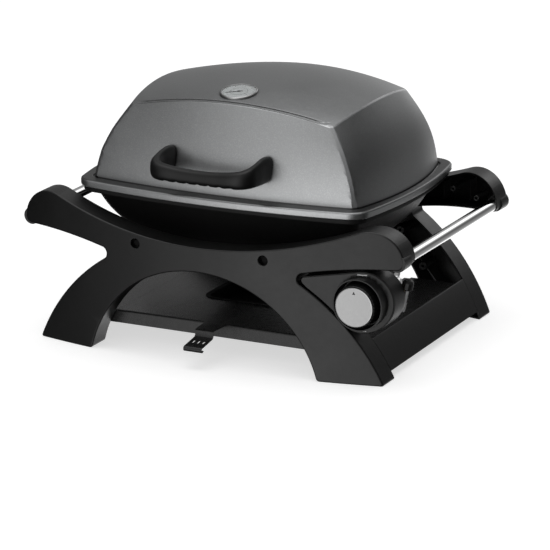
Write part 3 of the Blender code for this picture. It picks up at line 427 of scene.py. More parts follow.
def notch_arc(steps):
    """The round end of the notch between the arm and the leg."""
    x, z, radius = NOTCH
    return arc((x, z), radius, 95, 230, steps)


def bend(bm, side):
    """Bows a flat shape, whose Y is the depth behind the face, in strips along X."""
    bm.normal_update()
    bmesh.ops.triangulate(bm, faces=[f for f in bm.faces if len(f.verts) > 4])
    strips = math.ceil(ARM_TIP[0] / STRIP)
    for i in range(-strips, strips + 1):
        everything = bm.verts[:] + bm.edges[:] + bm.faces[:]
        bmesh.ops.bisect_plane(bm, geom=everything, plane_co=(i * STRIP, 0, 0), plane_no=(1, 0, 0))
    for vert in bm.verts:
        vert.co.y = side * (face_y(vert.co.x) - vert.co.y)
    return bm


def unbowed(u, v, bow_x, bow_y):
    """The place across a bowed outline, from -1 to 1 each way, of a point given in half widths."""
    a, b = u, v
    for _ in range(12):
        a = u / (1 + bow_x * (1 - b * b))
        b = v / (1 + bow_y * (1 - a * a))
    return a, b


def shrunk(sizes, amount):
    return (sizes[0] - amount, sizes[1] - amount, sizes[2], sizes[3], max(sizes[4] - amount, 3.0))


def mixed(one, two, share):
    """Each number of one row moved a share of the way to its match in the other."""
    return [a + (b - a) * share for a, b in zip(one, two)]


def crown_point(x, y):
    """A point on the lid's crown and the crown's normal there."""
    crest_x, crest_y, crest_bow_x, crest_bow_y, _ = LID_CREST
    u, v = unbowed(x / crest_x, (y - LID_CREST_Y) / crest_y, crest_bow_x / crest_x, crest_bow_y / crest_y)
    rise_x, rise_y = LID_CROWN
    z = LID_CREST_Z + rise_x * (1 - u * u) + rise_y * (1 - v * v)
    slope_x = -2 * rise_x * u / (crest_x + crest_bow_x)
    slope_y = -2 * rise_y * v / (crest_y + crest_bow_y)
    return Vector((x, y, z)), Vector((-slope_x, -slope_y, 1)).normalized()


def lid_shift(down):
    """How far back the middle of the lid's wall is, from its crest at 0 to its foot at 1."""
    return LID_CREST_Y + (LID_FLANGE_Y - LID_CREST_Y) * down


def wall_y(z, x):
    """Where the front of the lid's wall is, at a height and a place along it."""
    top = LID_CREST_Z + LID_CROWN[0]
    down = (top - z) / (top - LID_LEDGE)
    sizes = mixed(LID_CREST, LID_WALL_FOOT, down)
    half = sizes[1] + LID_BULGE * math.sin(math.pi * down)
    reach = half + sizes[3] * (1 - (x / sizes[0]) ** 2)
    return lid_shift(down) - reach


def handle_screw_holes():
    x, z = HANDLE_SCREW
    return [rod((sign * x, -150, z), FORWARD, HANDLE_SCREW_HOLE, -6, 35, 8) for sign in (-1, 1)]


def well_bore(radius):
    """A rod on the knob's axis that runs right through the control's face and well."""
    return rod(KNOB_PLACE, FORWARD, radius, -30, 60, ROUND)


# ---- pieces


def linked(name, data):
    made = bpy.data.objects.new(name, data)
    bpy.context.scene.collection.objects.link(made)
    return made


def meshed(name, bm, sharp):
    """An object from a bmesh in millimetres, moved into the world and shaded smooth up to an angle."""
    shift = Matrix.Translation((0, CENTRE_Y * MM, 0)) @ Matrix.Scale(MM, 4)
    bmesh.ops.transform(bm, matrix=shift, verts=bm.verts)
    mesh = bpy.data.meshes.new(name)
    bm.to_mesh(mesh)
    bm.free()
    mesh.shade_smooth()
    mesh.set_sharp_from_angle(angle=math.radians(sharp))
    return linked(name, mesh)


def put(name, bm, body, finish, slot, *nodes, sharp=32, weighted=True):
    """A piece from a bmesh in the part's own frame. It rides on a body and stands for CAD nodes."""
    bmesh.ops.remove_doubles(bm, verts=bm.verts, dist=0.0005)
    bmesh.ops.recalc_face_normals(bm, faces=bm.faces)
    if bm.calc_volume(signed=True) < 0:
        bmesh.ops.reverse_faces(bm, faces=bm.faces)
    made = meshed(name, bm, sharp)
    made.data.materials.append(finish)
    if weighted:
        smooth = made.modifiers.new("Weighted", "WEIGHTED_NORMAL")
        smooth.keep_sharp = True
        smooth.weight = 60
    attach(made, body)
    if nodes:
        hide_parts(*nodes)
    return made


def cutter(target, bm, name):
    """Cuts a shape in the part's own frame from a piece. The tool stays hidden."""
    bmesh.ops.recalc_face_normals(bm, faces=bm.faces)
    tool = meshed(name, bm, 40)
    tool.hide_render = True
    tool.hide_viewport = True
    tool.display_type = "WIRE"
    step = target.modifiers.new("Cut", "BOOLEAN")
    step.operation = "DIFFERENCE"
    step.solver = "EXACT"
    step.object = tool
    target.modifiers.move(len(target.modifiers) - 1, 0)


def soft_recipe(points, cut, least=14.0):
    """How to round an outline: its points in order, each kept as it is or a corner to be curved."""
    points = [Vector(p) for p in points]
    count = len(points)
    corners = []
    for i in range(count):
        one = points[i] - points[i - 1]
        two = points[(i + 1) % count] - points[i]
        if math.degrees(one.angle(two)) > least:
            corners.append(i)
    dropped = set()
    for i in corners:
        for step in (-1, 1):
            at, left = i, cut
            while (at + step) % count not in corners:
                left -= (points[(at + step) % count] - points[at % count]).length
                if left <= 0:
                    break
                at += step
                dropped.add(at % count)
    return [(i, i in corners) for i in range(count) if i not in dropped]


def softened(points, cut, recipe, steps=6):
    """A closed outline with its corners rounded. cut is how far each curve starts from its corner."""
    points = [Vector(p) for p in points]
    result = []
    for number, (i, corner) in enumerate(recipe):
        here = points[i]
        if not corner:
            result.append(tuple(here))
            continue
        before = points[recipe[number - 1][0]] - here
        after = points[recipe[(number + 1) % len(recipe)][0]] - here
        start = here + before * min(0.9, cut / before.length)
        end = here + after * min(0.9, cut / after.length)
        for k in range(steps + 1):
            t = k / steps
            result.append(tuple(start * (1 - t) ** 2 + here * 2 * t * (1 - t) + end * t * t))
    return result


def catmull(rows, steps):
    """Rows of numbers with smooth in-between rows added, for an open sequence."""
    result = []
    last = len(rows) - 1
    for i in range(last):
        a, b, c, d = rows[max(i - 1, 0)], rows[i], rows[i + 1], rows[min(i + 2, last)]
        for k in range(steps):
            t = k / steps
            row = []
            for p, q, r, s in zip(a, b, c, d):
                row.append(0.5 * (2 * q + (r - p) * t + (2 * p - 5 * q + 4 * r - s) * t * t
                                  + (3 * q - p - 3 * r + s) * t ** 3))
            result.append(tuple(row))
    result.append(tuple(rows[-1]))
    return result


def rounding(radius, steps=4):
    """(distance in from the side, distance in from the face) round an edge, from the face to the side."""
    found = []
    for k in range(steps + 1):
        angle = math.pi / 2 * k / steps
        found.append((radius * (1 - math.sin(angle)), radius * (1 - math.cos(angle))))
    return found


# ---- frames


def fine_frame_outline():
    top_z, top_radius = TOP_EDGE
    reach = math.degrees(math.asin(ARM_ROOT[0] / top_radius))
    arch_z, arch_radius = ARCH
    foot_angle = math.degrees(math.asin(-arch_z / arch_radius))
    notch = notch_arc(16)
    shoulder_rise, tip_rise, heel_rise = ARM_RISES
    right = arc((0, top_z + top_radius), top_radius, -90, -90 + reach, 24)
    right += bulge(right[-1], ARM_TIP, shoulder_rise, 26)[1:]
    right += bulge(ARM_TIP, ARM_HEEL, tip_rise, 6)[1:]
    right += bulge(ARM_HEEL, notch[0], heel_rise, 16)[1:-1]
    right += notch
    right += bulge(notch[-1], FOOT_TOE, LEG_RISE, 26)[1:]
    right += between(FOOT_TOE, (arch_radius * math.cos(math.radians(foot_angle)), 0.0), 4)
    right += arc((0, arch_z), arch_radius, foot_angle, 90, 36)
    left = [(-x, z) for x, z in reversed(right[1:-1])]
    return list(reversed(right + left))


def shell(outline, depths, cut):
    """A moulding with soft corners: depths holds (inset, depth behind the face). Both ends are closed."""
    recipe = soft_recipe(outline, cut)
    rings = []
    for amount, depth in depths:
        ring = softened(inset(outline, amount), max(cut - amount, 0.6), recipe)
        rings.append([(x, depth, z) for x, z in ring])
    return loft(rings)


def fine_frame(name, side, finish):
    wall, back = FRAME_WALL, FRAME_DEPTH
    depths = rounding(EDGE_ROUND)
    depths += [(0.0, back - 0.7), (0.25, back - 0.2), (0.7, back), (wall - 0.5, back), (wall, back - 0.5),
               (wall + 0.6, wall)]
    bm = bend(shell(fine_frame_outline(), depths, FRAME_CORNER), side)
    made = put(name, bm, "base", finish, "black_moulding", name, sharp=28)
    recess, depth = BOLT_RECESS
    profile = [(-5, recess + 0.8), (0.05, recess + 0.8), (0.8, recess), (depth, recess), (depth, BOLT_CLEAR),
               (back + 5, BOLT_CLEAR)]
    holes = []
    for sign in (-1, 1):
        place = (sign * BOLT_X, side * face_y(BOLT_X), BOLT_Z)
        holes.append(turned(profile, place, (0, -side, 0), 32))
    cutter(made, merged(*holes), f"{name}_holes")
    bosses = []
    for sign in (-1, 1):
        bosses.append(bolt_boss(side, sign * BOLT_X))
        bosses.append(boss(side, sign * BAR[0], BAR[1], BAR_RADIUS + 3.4, BAR_RADIUS + 0.2, 6.0, 40,
                           BAR_INSET + 14))
        bosses += [boss(side, sign * x, z, SCREW_BOSS, 2.2, 15.0, 20) for x, z in SCREW_BOSSES]
        bosses += [boss(side, sign * x, z, 4.6, 2.0, 20.0, 18) for x, z in EXTRA_BOSSES]
        bosses += ribs(side, sign)
    put(f"{name}_inside", merged(*bosses), "base", finish, "black_moulding", sharp=35, weighted=False)


def boss(side, x, z, radius, bore, floor, sides, tall=BOSS_TALL):
    """A post behind the face, with a blind hole as deep as floor leaves it."""
    root = FRAME_WALL - 0.6
    profile = [(root, radius + 0.5), (tall - 0.6, radius), (tall, radius - 0.6), (tall, bore + 0.4),
               (tall - 0.4, bore), (floor, bore), (floor, 0.02), (root, 0.02)]
    return turned(profile, (x, side * face_y(x), z), (0, -side, 0), sides, "joined")


def bolt_boss(side, x):
    """The boss behind a bolt's recess, open to the face."""
    recess, depth = BOLT_RECESS
    root, tall = FRAME_WALL - 0.6, BOSS_TALL
    profile = [(root, BOLT_BOSS + 0.5), (tall - 0.6, BOLT_BOSS), (tall, BOLT_BOSS - 0.6), (tall, BOLT_HOLE),
               (depth, BOLT_HOLE), (depth, recess), (root, recess)]
    return turned(profile, (x, side * face_y(x), BOLT_Z), (0, -side, 0), 32, "joined")


def ribs(side, sign):
    """Stiffening webs across the hollow. They follow the bow of the face."""
    made = []
    for start, end, depth in RIBS:
        a, b = Vector(start), Vector(end)
        line = (b - a).normalized()
        off = Vector((-line.y, line.x)) * RIB_HALF
        outline = [(sign * p.x, p.y) for p in (a + off, a - off, b - off, b + off)]
        near = [(x, side * (face_y(x) - FRAME_WALL + 0.5), z) for x, z in outline]
        far = [(x, side * (face_y(x) - depth), z) for x, z in outline]
        made.append(loft([near, far]))
    return made


# ---- lid


def lid_place(u, v, scale, skin):
    """A point of the crown: u and v from -1 to 1 across the crest's outline, shrunk by scale."""
    crest_x, crest_y, bow_x, bow_y, _ = LID_CREST
    rise_x, rise_y = LID_CROWN
    su, sv = u * scale, v * scale
    return Vector((
        su * (crest_x - skin + bow_x * (1 - sv * sv)),
        sv * (crest_y - skin + bow_y * (1 - su * su)) + LID_CREST_Y,
        LID_CREST_Z - skin + rise_x * (1 - su ** 2) + rise_y * (1 - sv ** 2),
    ))


def cut_corners(half_x, half_y, turn):
    """The lid's outline in plan: rounded behind, and with its two front corners cut flat."""
    ring = []
    for x, y in round_box(half_x, half_y, turn, 8, 24):
        past_x, past_y = abs(x) - half_x + turn, -y - half_y + turn
        if past_x > 0 and past_y > 0:
            share = math.atan2(past_y, past_x) / (math.pi / 2)
            x = math.copysign(half_x - FRONT_CUT * share, x)
            y = -(half_y - FRONT_CUT * (1 - share))
        ring.append((x, y))
    return ring


def fine_lid_rings(skin, crown_scales, wall_steps):
    """Rings from the crown's middle out to its crest, then down the walls to the ledge."""
    crest_x, crest_y, corner = LID_CREST[0], LID_CREST[1], LID_CREST[4]
    base = []
    for x, y in cut_corners(crest_x - skin, crest_y - skin, max(corner - skin, 3.0)):
        base.append((x / (crest_x - skin), y / (crest_y - skin)))
    rings = [[lid_place(0, 0, 0, skin)]]
    for scale, sink in crown_scales:
        ring = []
        for u, v in base:
            front = min(1.0, (1.0 - abs(u)) / 0.12) if v < -0.9 else 0.0
            ring.append(lid_place(u, v, scale, skin) - Vector((0, 0, sink * front)))
        rings.append(ring)
    for down in wall_steps:
        swell = math.sin(math.pi * down)
        sizes = mixed(LID_CREST, LID_WALL_FOOT, down)
        half_x = sizes[0] - skin + LID_SIDE_BULGE * swell
        half_y = sizes[1] - skin + LID_BULGE * swell
        ring = []
        for x, y in cut_corners(half_x, half_y, max(sizes[4] - skin, 3.0)):
            u, v = x / half_x, y / half_y
            top = lid_place(u, v, 1.0, skin).z
            ring.append(Vector((x + u * sizes[2] * (1 - v * v),
                                y + v * sizes[3] * (1 - u * u) + lid_shift(down),
                                top + (LID_LEDGE - top) * down)))
        rings.append(ring)
    return rings


def fine_bowed(sizes, shift_y, z):
    half_x, half_y, bow_x, bow_y, corner = sizes
    ring = []
    for x, y in round_box(half_x, half_y, corner, 8, 24):
        u, v = x / half_x, y / half_y
        ring.append(Vector((x + u * bow_x * (1 - v * v), y + v * bow_y * (1 - u * u) + shift_y, z)))
    return ring


def fine_lid(finish):
    crown = [(s / 18, 0.0) for s in range(1, 17)] + list(CREASE)
    walls = [0.012, 0.02, 0.03, 0.05] + [0.05 + 0.95 * k / 16 for k in range(1, 16)] + [0.985, 1.0]
    outer = fine_lid_rings(0.0, crown, walls)
    foot = LID_WALL_FOOT
    grow, deep = CHANNEL
    floor = LID_LEDGE - deep
    channel = []
    for share, z in ((0.1, floor + 0.6), (0.3, floor), (0.65, floor), (0.82, floor + 0.6),
                     (0.9, LID_LEDGE - 0.5), (1.05, LID_LEDGE)):
        sizes = mixed(foot, LID_FLANGE, share * grow / (LID_FLANGE[0] - foot[0]))
        channel.append(fine_bowed(sizes, LID_FLANGE_Y, z))
    edge = [(amount, LID_LEDGE - drop) for amount, drop in rounding(3.4, 5)]
    edge += [(0.0, LID_BOTTOM + 1.6), (0.4, LID_BOTTOM + 0.5), (1.5, LID_BOTTOM)]
    flange = [fine_bowed(shrunk(LID_FLANGE, amount), LID_FLANGE_Y, z) for amount, z in edge]
    mouth = [fine_bowed(shrunk(foot, LID_SKIN), LID_FLANGE_Y, LID_BOTTOM)]
    inner = fine_lid_rings(LID_SKIN, [(s / 6, 0.0) for s in range(1, 7)], [k / 8 for k in range(1, 9)])
    bm = loft(outer + channel + flange + mouth + inner[::-1], "point")
    made = put("lid", bm, "lid", finish, "grey_enamel", "lid_shell", sharp=26)
    place, axis = crown_point(0, GAUGE_Y)
    cutter(made, merged(rod(place, axis, GAUGE_HOLE, -20, 20, 24), *handle_screw_holes()), "lid_holes")


# ---- handle


def fine_handle(finish):
    right = [(-x, y, z, tall, thick, -turn) for x, y, z, tall, thick, turn in reversed(HANDLE_PATH)]
    rows = catmull([*HANDLE_PATH, HANDLE_SAG, *right], HANDLE_STEPS)
    pitch, deep, reach, fade = GROOVES
    rings = []
    for number, (x, y, middle, tall, thick, turn) in enumerate(rows):
        out = Vector((-math.sin(math.radians(turn)), math.cos(math.radians(turn)), 0))
        from_end = min(number, len(rows) - 1 - number)
        ring = []
        for k in range(HANDLE_SIDES):
            angle = 2 * math.pi * k / HANDLE_SIDES
            c, s = math.cos(angle), math.sin(angle)
            across = thick * math.copysign(abs(c) ** (2 / HANDLE_SQUARE), c)
            up = tall * math.copysign(abs(s) ** (2 / HANDLE_SQUARE), s)
            point = Vector((x, y, middle + up)) + out * across
            if from_end < HANDLE_STEPS:
                wall = wall_y(point.z, point.x) - GAP
                point.y = wall + (point.y - wall) * from_end / HANDLE_STEPS
            elif s < GROOVE_TOP and abs(x) < reach:
                groove = deep * max(0.0, math.cos(2 * math.pi * x / pitch))
                point.z += groove * min(1.0, (GROOVE_TOP - s) / 0.3) * min(1.0, (reach - abs(x)) / fade)
            ring.append(point)
        rings.append(ring)
    put("handle", loft(rings), "lid", finish, "black_moulding", "lid_handle", sharp=60)


# ---- bowl


def fine_bowl(finish):
    top, half_x, half_y, corner = BOWL_SIDE[0]
    full = BOWL_SIDE[-1][0] - 4
    lip = (half_x, half_y, *BOWL_BOW, corner)
    wide = DRAIN_RADIUS + DRAIN_WALL

    def ring_at(z, wide, deep, turn, skin=0.0, lift=0.0):
        depth = (z - full) / (top - full)
        sizes = (wide - skin, deep - skin, BOWL_BOW[0] * depth, BOWL_BOW[1] * depth, max(turn - skin, 3.0))
        return fine_bowed(sizes, LID_FLANGE_Y * depth, z + lift)

    edge = ((1.2, BOWL_RIM), (0.4, BOWL_RIM - 0.3), (0.0, BOWL_RIM - 1.2), (0.0, top + 1.2), (0.4, top + 0.3),
            (1.2, top), (11.5, top))
    rim = [fine_bowed(shrunk(lip, amount), LID_FLANGE_Y, z) for amount, z in edge]
    outer = [ring_at(*row) for row in catmull(BOWL_SIDE[1:], 4)]
    spout = [fine_spout(*row) for row in ((wide + 2, DRAIN_Z + 10), (wide, DRAIN_Z + 7), (wide, DRAIN_Z),
                                          (DRAIN_RADIUS, DRAIN_Z), (DRAIN_RADIUS, DRAIN_Z + 12))]
    inner = []
    for row in catmull([BOWL_SIDE[i] for i in BOWL_INNER], 3):
        lift = BOWL_SKIN * min(1.0, max(0.0, (180 - row[0]) / 40))
        inner.append(ring_at(*row, skin=BOWL_SKIN, lift=lift))
    ledge = [fine_bowed(shrunk(lip, 15.0), LID_FLANGE_Y, BOWL_RIM)]
    bm = loft(rim + outer + spout + inner[::-1] + ledge, "joined")
    made = put("firebowl", bm, "base", finish, "black_casting", "bowl", sharp=30)
    cutter(made, swept(TUBE_HOLE, [TUBE_HOLE_RADIUS] * 2, 32), "firebowl_hole")


def fine_spout(radius, z):
    angles = [math.atan2(y, x) for x, y in round_box(1, 1, 0.999, 8, 24)]
    return [(radius * math.cos(a), radius * math.sin(a), z) for a in angles]


# ---- controls


def fine_panel_outline(amount=0.0):
    big_x, big_z, big_radius = PANEL_ROUND
    tip_x, tip_z, tip_radius = PANEL_TIP
    big, small = big_radius - amount, tip_radius - amount
    line = Vector((big_x - tip_x, big_z - tip_z))
    lean = math.degrees(math.asin((big - small) / line.length))
    heading = math.degrees(math.atan2(line.y, line.x))
    start = heading - 90 - lean
    end = heading + 90 + lean
    round_end = arc((big_x, big_z), big, start, end, 56)
    tip = arc((tip_x, tip_z), small, end, start + 360, 16)
    outline = round_end + between(round_end[-1], tip[0], 10) + tip + between(tip[-1], round_end[0], 24)
    centre, radius = bulge_circle(notch_arc(5)[-1], FOOT_TOE, LEG_RISE)
    clear = radius + PANEL_GAP + amount
    for number, point in enumerate(outline):
        spoke = Vector(point) - centre
        if spoke.length < clear:
            outline[number] = tuple(centre + spoke.normalized() * clear)
    return outline


def fine_controls(black, white):
    near, wall, back = FASCIA_THICK + GAP, HOUSING_WALL, HOUSING_DEPTH
    depths = [(0.9, near + 0.2), (0.3, near + 0.3), (0.0, near + 0.9), (0.0, back - 0.5), (0.5, back),
              (wall - 0.3, back), (wall, back - 0.5), (wall, near + wall)]
    housing = put("control_shell", bend(shell(fine_panel_outline(), depths, 1.0), -1), "base", black,
                  "black_moulding", "control_housing")
    cutter(housing, well_bore(WELL_RADIUS + 1.8), "control_shell_hole")
    inner, bore, mouth = WELL_RADIUS, STEM_RADIUS + 1.5, 25.6
    well = [(-WELL_WALL, bore), (0, bore), (0, inner - 2), (0.6, inner - 0.6), (2, inner), (mouth, inner),
            (mouth, inner + 1.7), (-WELL_WALL, inner + 1.7)]
    cup = turned(well, KNOB_PLACE, FORWARD, ROUND, "joined")
    put("control_well", cup, "base", black, "black_moulding")
    face = bend(shell(fine_panel_outline(2 * GAP), rounding(0.9, 3) + [(0.0, FASCIA_THICK)], 1.0), -1)
    fascia = put("control_face", face, "base", black, "black_moulding", "control_fascia")
    cutter(fascia, well_bore(WELL_RADIUS + 0.1), "control_face_hole")
    marks = [face_mark(*mark) for mark in MARKS]
    put("control_marks", merged(*marks), "base", white, "dial_face", weighted=False)


def face_mark(x, z, wide, tall, turn):
    """A thin printed bar that lies on the bowed face."""
    spin = Matrix.Rotation(math.radians(turn), 2)
    rings = []
    for depth in (0.02, -0.12):
        ring = []
        for a, b in ((-1, -1), (1, -1), (1, 1), (-1, 1)):
            corner = spin @ Vector((a * wide / 2, b * tall / 2)) + Vector((x, z))
            ring.append((corner.x, depth - face_y(corner.x), corner.y))
        rings.append(ring)
    return loft(rings)


def fine_knob(black, metal, dark):
    back, front, skirt, grip = KNOB_BACK, KNOB_FRONT, KNOB_SKIRT, KNOB_GRIP
    lip = front - 2
    seat = front - 4
    inside = grip - 2
    bore = STEM_RADIUS + 0.8
    profile = [(back, bore), (back, skirt - 0.6), (back + 0.6, skirt), (back + 2.4, skirt),
               (back + 3, skirt - 0.5), (back + 4.4, grip + 0.3), (back + 5.4, grip - 0.2),
               (lip - 1.0, grip - 0.4), (lip - 0.2, grip - 0.9), (lip, inside + 0.4), (lip - 0.4, inside),
               (seat, inside), (seat, 2.0), (22, 2.0), (22, bore)]
    sides = 4 * FLUTES
    turn = facing(FORWARD)
    rings = []
    for along, radius in profile:
        fluted = back + 5 < along < lip and radius > inside + 0.5
        ring = []
        for k in range(sides):
            angle = 2 * math.pi * k / sides
            deep = FLUTE_DEPTH * max(0.0, math.cos(angle * FLUTES)) ** 2 if fluted else 0.0
            spoke = Vector(((radius - deep) * math.cos(angle), (radius - deep) * math.sin(angle), along))
            ring.append(Vector(KNOB_PLACE) + turn @ spoke)
        rings.append(ring)
    put("knob_grip", loft(rings, "joined"), "knob", black, "black_moulding", "knob_body", sharp=40)
    disc = [(seat + 0.3, inside - 0.5), (front - 0.9, inside - 0.5), (front - 0.25, inside - 0.8),
            (front, inside - 1.5), (front - 0.05, inside - 2.6), (front - 0.12, 12.0), (front - 0.14, 0.3)]
    cap = turned(disc, KNOB_PLACE, FORWARD, 120)
    put("knob_disc", cap, "knob", metal, "brushed_steel", "knob_cap", sharp=30)
    y = WELL_FLOOR - front
    x, z = KNOB
    arrow = [(x - 2.3, z + inside - 10.4), (x + 2.3, z + inside - 10.4), (x, z + inside - 5.8)]
    put("knob_pointer", prism(arrow, "Y", y - 0.02, y + 0.3), "knob", dark, "needle", weighted=False)


# ---- gauge


def fine_gauge(metal, face, dark, clear):
    place, axis = crown_point(0, GAUGE_Y)
    top, dial = GAUGE_RADIUS, GAUGE_RADIUS - 2.8
    bezel = [(-15, 4.6), (-0.9, 4.6), (-0.9, top - 0.3), (-0.4, top), (1.2, top), (2.0, top - 0.4),
             (2.5, top - 1.0), (2.8, top - 1.7), (2.6, top - 2.4), (2.1, top - 2.6), (0.6, top - 2.6),
             (0.6, 3.0), (-15, 3.0)]
    ring = turned(bezel, place, axis, ROUND, "joined")
    put("thermometer_ring", ring, "lid", metal, "brushed_steel", "gauge_bezel", sharp=35)
    plate = [(0.7, dial), (1.3, dial), (1.4, dial - 0.3), (1.4, 1.6), (0.7, 1.6)]
    put("thermometer_dial", turned(plate, place, axis, 72, "joined"), "lid", face, "dial_face", "gauge_dial")
    marks = dial_ticks(place, facing(axis), dial)
    marks.append(turned([(1.39, 13.4), (1.46, 13.4), (1.46, 12.9), (1.39, 12.9)], place, axis, 60, "joined"))
    put("thermometer_marks", merged(*marks), "lid", dark, "needle", weighted=False)
    hub = turned([(1.6, 2.6), (1.95, 2.6), (2.1, 2.2), (2.15, 0.3)], place, axis, 32)
    pointer = [(-0.9, -6), (0.9, -6), (1.3, 0), (0.35, 19.0), (-0.35, 19.0), (-1.3, 0)]
    start = Matrix.Rotation(math.radians(NEEDLE_START), 4, "Z")
    needle = moved(prism(pointer, "Z", 1.65, 1.95), Matrix.Translation(place) @ facing(axis).to_4x4() @ start)
    put("thermometer_needle", merged(needle, hub), "needle", dark, "needle", "gauge_needle", weighted=False)
    glass_line = [(2.25, dial + 0.1), (2.5, dial + 0.1), (2.6, dial - 1.0), (2.7, 10.0), (2.72, 0.2)]
    put("thermometer_glass", turned(glass_line, place, axis, 72), "lid", clear, "lens", "gauge_lens")


def dial_ticks(place, turn, dial):
    """Ticks round the dial, every fourth one longer and wider."""
    count, first, step = TICKS
    marks = []
    for number in range(count):
        angle = math.radians(first - number * step)
        length, half = (5.2, 0.42) if number % LONG_TICK_EVERY == 0 else (3.4, 0.24)
        near, far = dial - length, dial - 1.6
        out = Vector((math.cos(angle), math.sin(angle), 0))
        side = Vector((-out.y, out.x, 0)) * half
        ring = [out * near - side, out * far - side, out * far + side, out * near + side]
        marks.append(loft([[place + turn @ (p + Vector((0, 0, h))) for p in ring] for h in (1.39, 1.47)]))
    return marks


# ---- tray


def fine_tray(finish, pan_finish):
    low, bottom = TRAY_TOP - SHEET, TRAY_TOP - TRAY_LIP
    bend_at = (TRAY_FRONT + TRAY_BEND, TRAY_TOP - TRAY_BEND)
    profile = [(TRAY_BACK, TRAY_TOP - 0.3), (TRAY_BACK - 0.3, TRAY_TOP)]
    profile += arc(bend_at, TRAY_BEND, 90, 180, 6)
    profile += [(TRAY_FRONT, bottom + 0.5), (TRAY_FRONT + 0.4, bottom), (TRAY_FRONT + 1.1, bottom),
                (TRAY_FRONT + SHEET, bottom + 0.5)]
    profile += arc(bend_at, TRAY_BEND - SHEET, 180, 90, 6) + [(TRAY_BACK, low)]
    half = TRAY_HALF + TRAY_EASE
    made = put("tray_sheet", prism(profile, "X", -half, half), "tray", finish, "tray_steel", "slide_tray")
    half_x, half_y = PAN_HALF
    window = round_box(half_x - 5, half_y - 5, PAN_CORNER - 5, 10)
    cutter(made, prism(window, "Z", low - 5, TRAY_TOP + 5), "tray_window")
    tab = put("tray_tab", pull_tab(), "tray", finish, "tray_steel", sharp=40)
    slots = []
    for x in TAB_SLOTS:
        slot = [(x + a, TAB_REACH + 21 + b) for a, b in round_box(1.4, 5.2, 1.3, 4)]
        slots.append(prism(slot, "Z", 20, 46))
    cutter(tab, merged(*slots), "tray_tab_slots")
    put("tray_pan", pan_skin(), "tray", pan_finish, "brushed_steel", "drip_pan")


def pan_skin():
    """The pan's inside from its middle out to the rim, then its underside back to the middle."""
    half_x, half_y = PAN_HALF
    top = TRAY_TOP + GAP + 1.0
    floor = top - PAN_DEPTH
    rows = [(40.0, floor + 0.8), (13.4, floor + 1.0), (11.4, floor + 1.8), (10.2, floor + 4),
            (7.3, top - 1.6), (6.6, top - 0.6), (5.0, top - 0.2), (1.6, top - 0.15), (0.5, top),
            (0.0, top - 0.4), (0.0, top - 1.0), (5.4, top - 1.2), (6.2, top - 1.4), (9.2, floor + 3.4),
            (10.6, floor + 1.0), (12.6, floor), (40.0, floor)]
    rings = []
    for shrink, z in rows:
        flat = round_box(half_x - shrink, half_y - shrink, PAN_CORNER - min(shrink, 16), 10)
        rings.append([(x, y, z) for x, y in flat])
    return loft(rings)


def pull_tab():
    """The tab's side view, thinned at its two edges and flared where it joins the tray."""
    y, z, radius = TAB_ROLL
    middle = SHEET / 2
    (a, b), (c, d), (e, f), (g, h), (i, j) = TAB_LINE
    line = [(TRAY_FRONT + 3, TRAY_TOP - middle), (a, b - middle), (c + 0.7, d), (e + 0.7, f), (g, h - middle),
            (i, j - middle)]
    line += arc((y, z), radius - middle, 80, 330, 20)
    rings = []
    for x in (-TAB_HALF, 0.4 - TAB_HALF, TAB_HALF - 0.4, TAB_HALF):
        thick = SHEET - 0.5 if abs(x) == TAB_HALF else SHEET
        ring = []
        for y, z in thickened(line, thick):
            flare = TAB_FLARE if y > TRAY_FRONT - 1 else 0.0
            ring.append((x + math.copysign(flare, x), y, z))
        rings.append(ring)
    return loft(rings)


def thickened(line, thick):
    """A closed outline round an open line."""
    one, two = [], []
    for number, here in enumerate(line):
        ahead = Vector(line[min(number + 1, len(line) - 1)]) - Vector(line[max(number - 1, 0)])
        ahead.normalize()
        out = Vector((-ahead.y, ahead.x)) * thick / 2
        one.append(tuple(Vector(here) + out))
        two.append(tuple(Vector(here) - out))
    return one + two[::-1]


def fine_bars(chrome):
    for hand, sign in (("left", -1), ("right", 1)):
        x, z = sign * BAR[0], BAR[1]
        reach = face_y(x) - BAR_INSET - GAP
        profile = [(-reach, BAR_RADIUS - 0.5), (-reach + 0.5, BAR_RADIUS), (reach - 0.5, BAR_RADIUS),
                   (reach, BAR_RADIUS - 0.5)]
        bar = turned(profile, (x, 0, z), (0, 1, 0), 72)
        put(f"bar_{hand}", bar, "base", chrome, "chrome", f"carrying_bar_{hand}")


def fine_side_panels(black):
    for hand, side in (("left", -1), ("right", 1)):
        leg = bulge(notch_arc(5)[-1], FOOT_TOE, LEG_RISE, 240)
        outer = [Vector(p) for p in leg if PANEL_LOW < p[1] < PANEL_HIGH][::4]
        inner = [p + Vector((-PANEL_THICK, 0)) for p in reversed(outer)]
        outline = [(side * p.x, p.y) for p in outer + inner]
        outline = softened(outline, 0.7, soft_recipe(outline, 0.7, 30.0), 3)
        rings = []
        for number in range(13):
            share = number / 6 - 1
            rings.append([(x, share * (rim_y(x) - GAP), z) for x, z in outline])
        put(f"side_{hand}", loft(rings), "base", black, "black_moulding", f"side_panel_{hand}", sharp=30)


# ---- materials


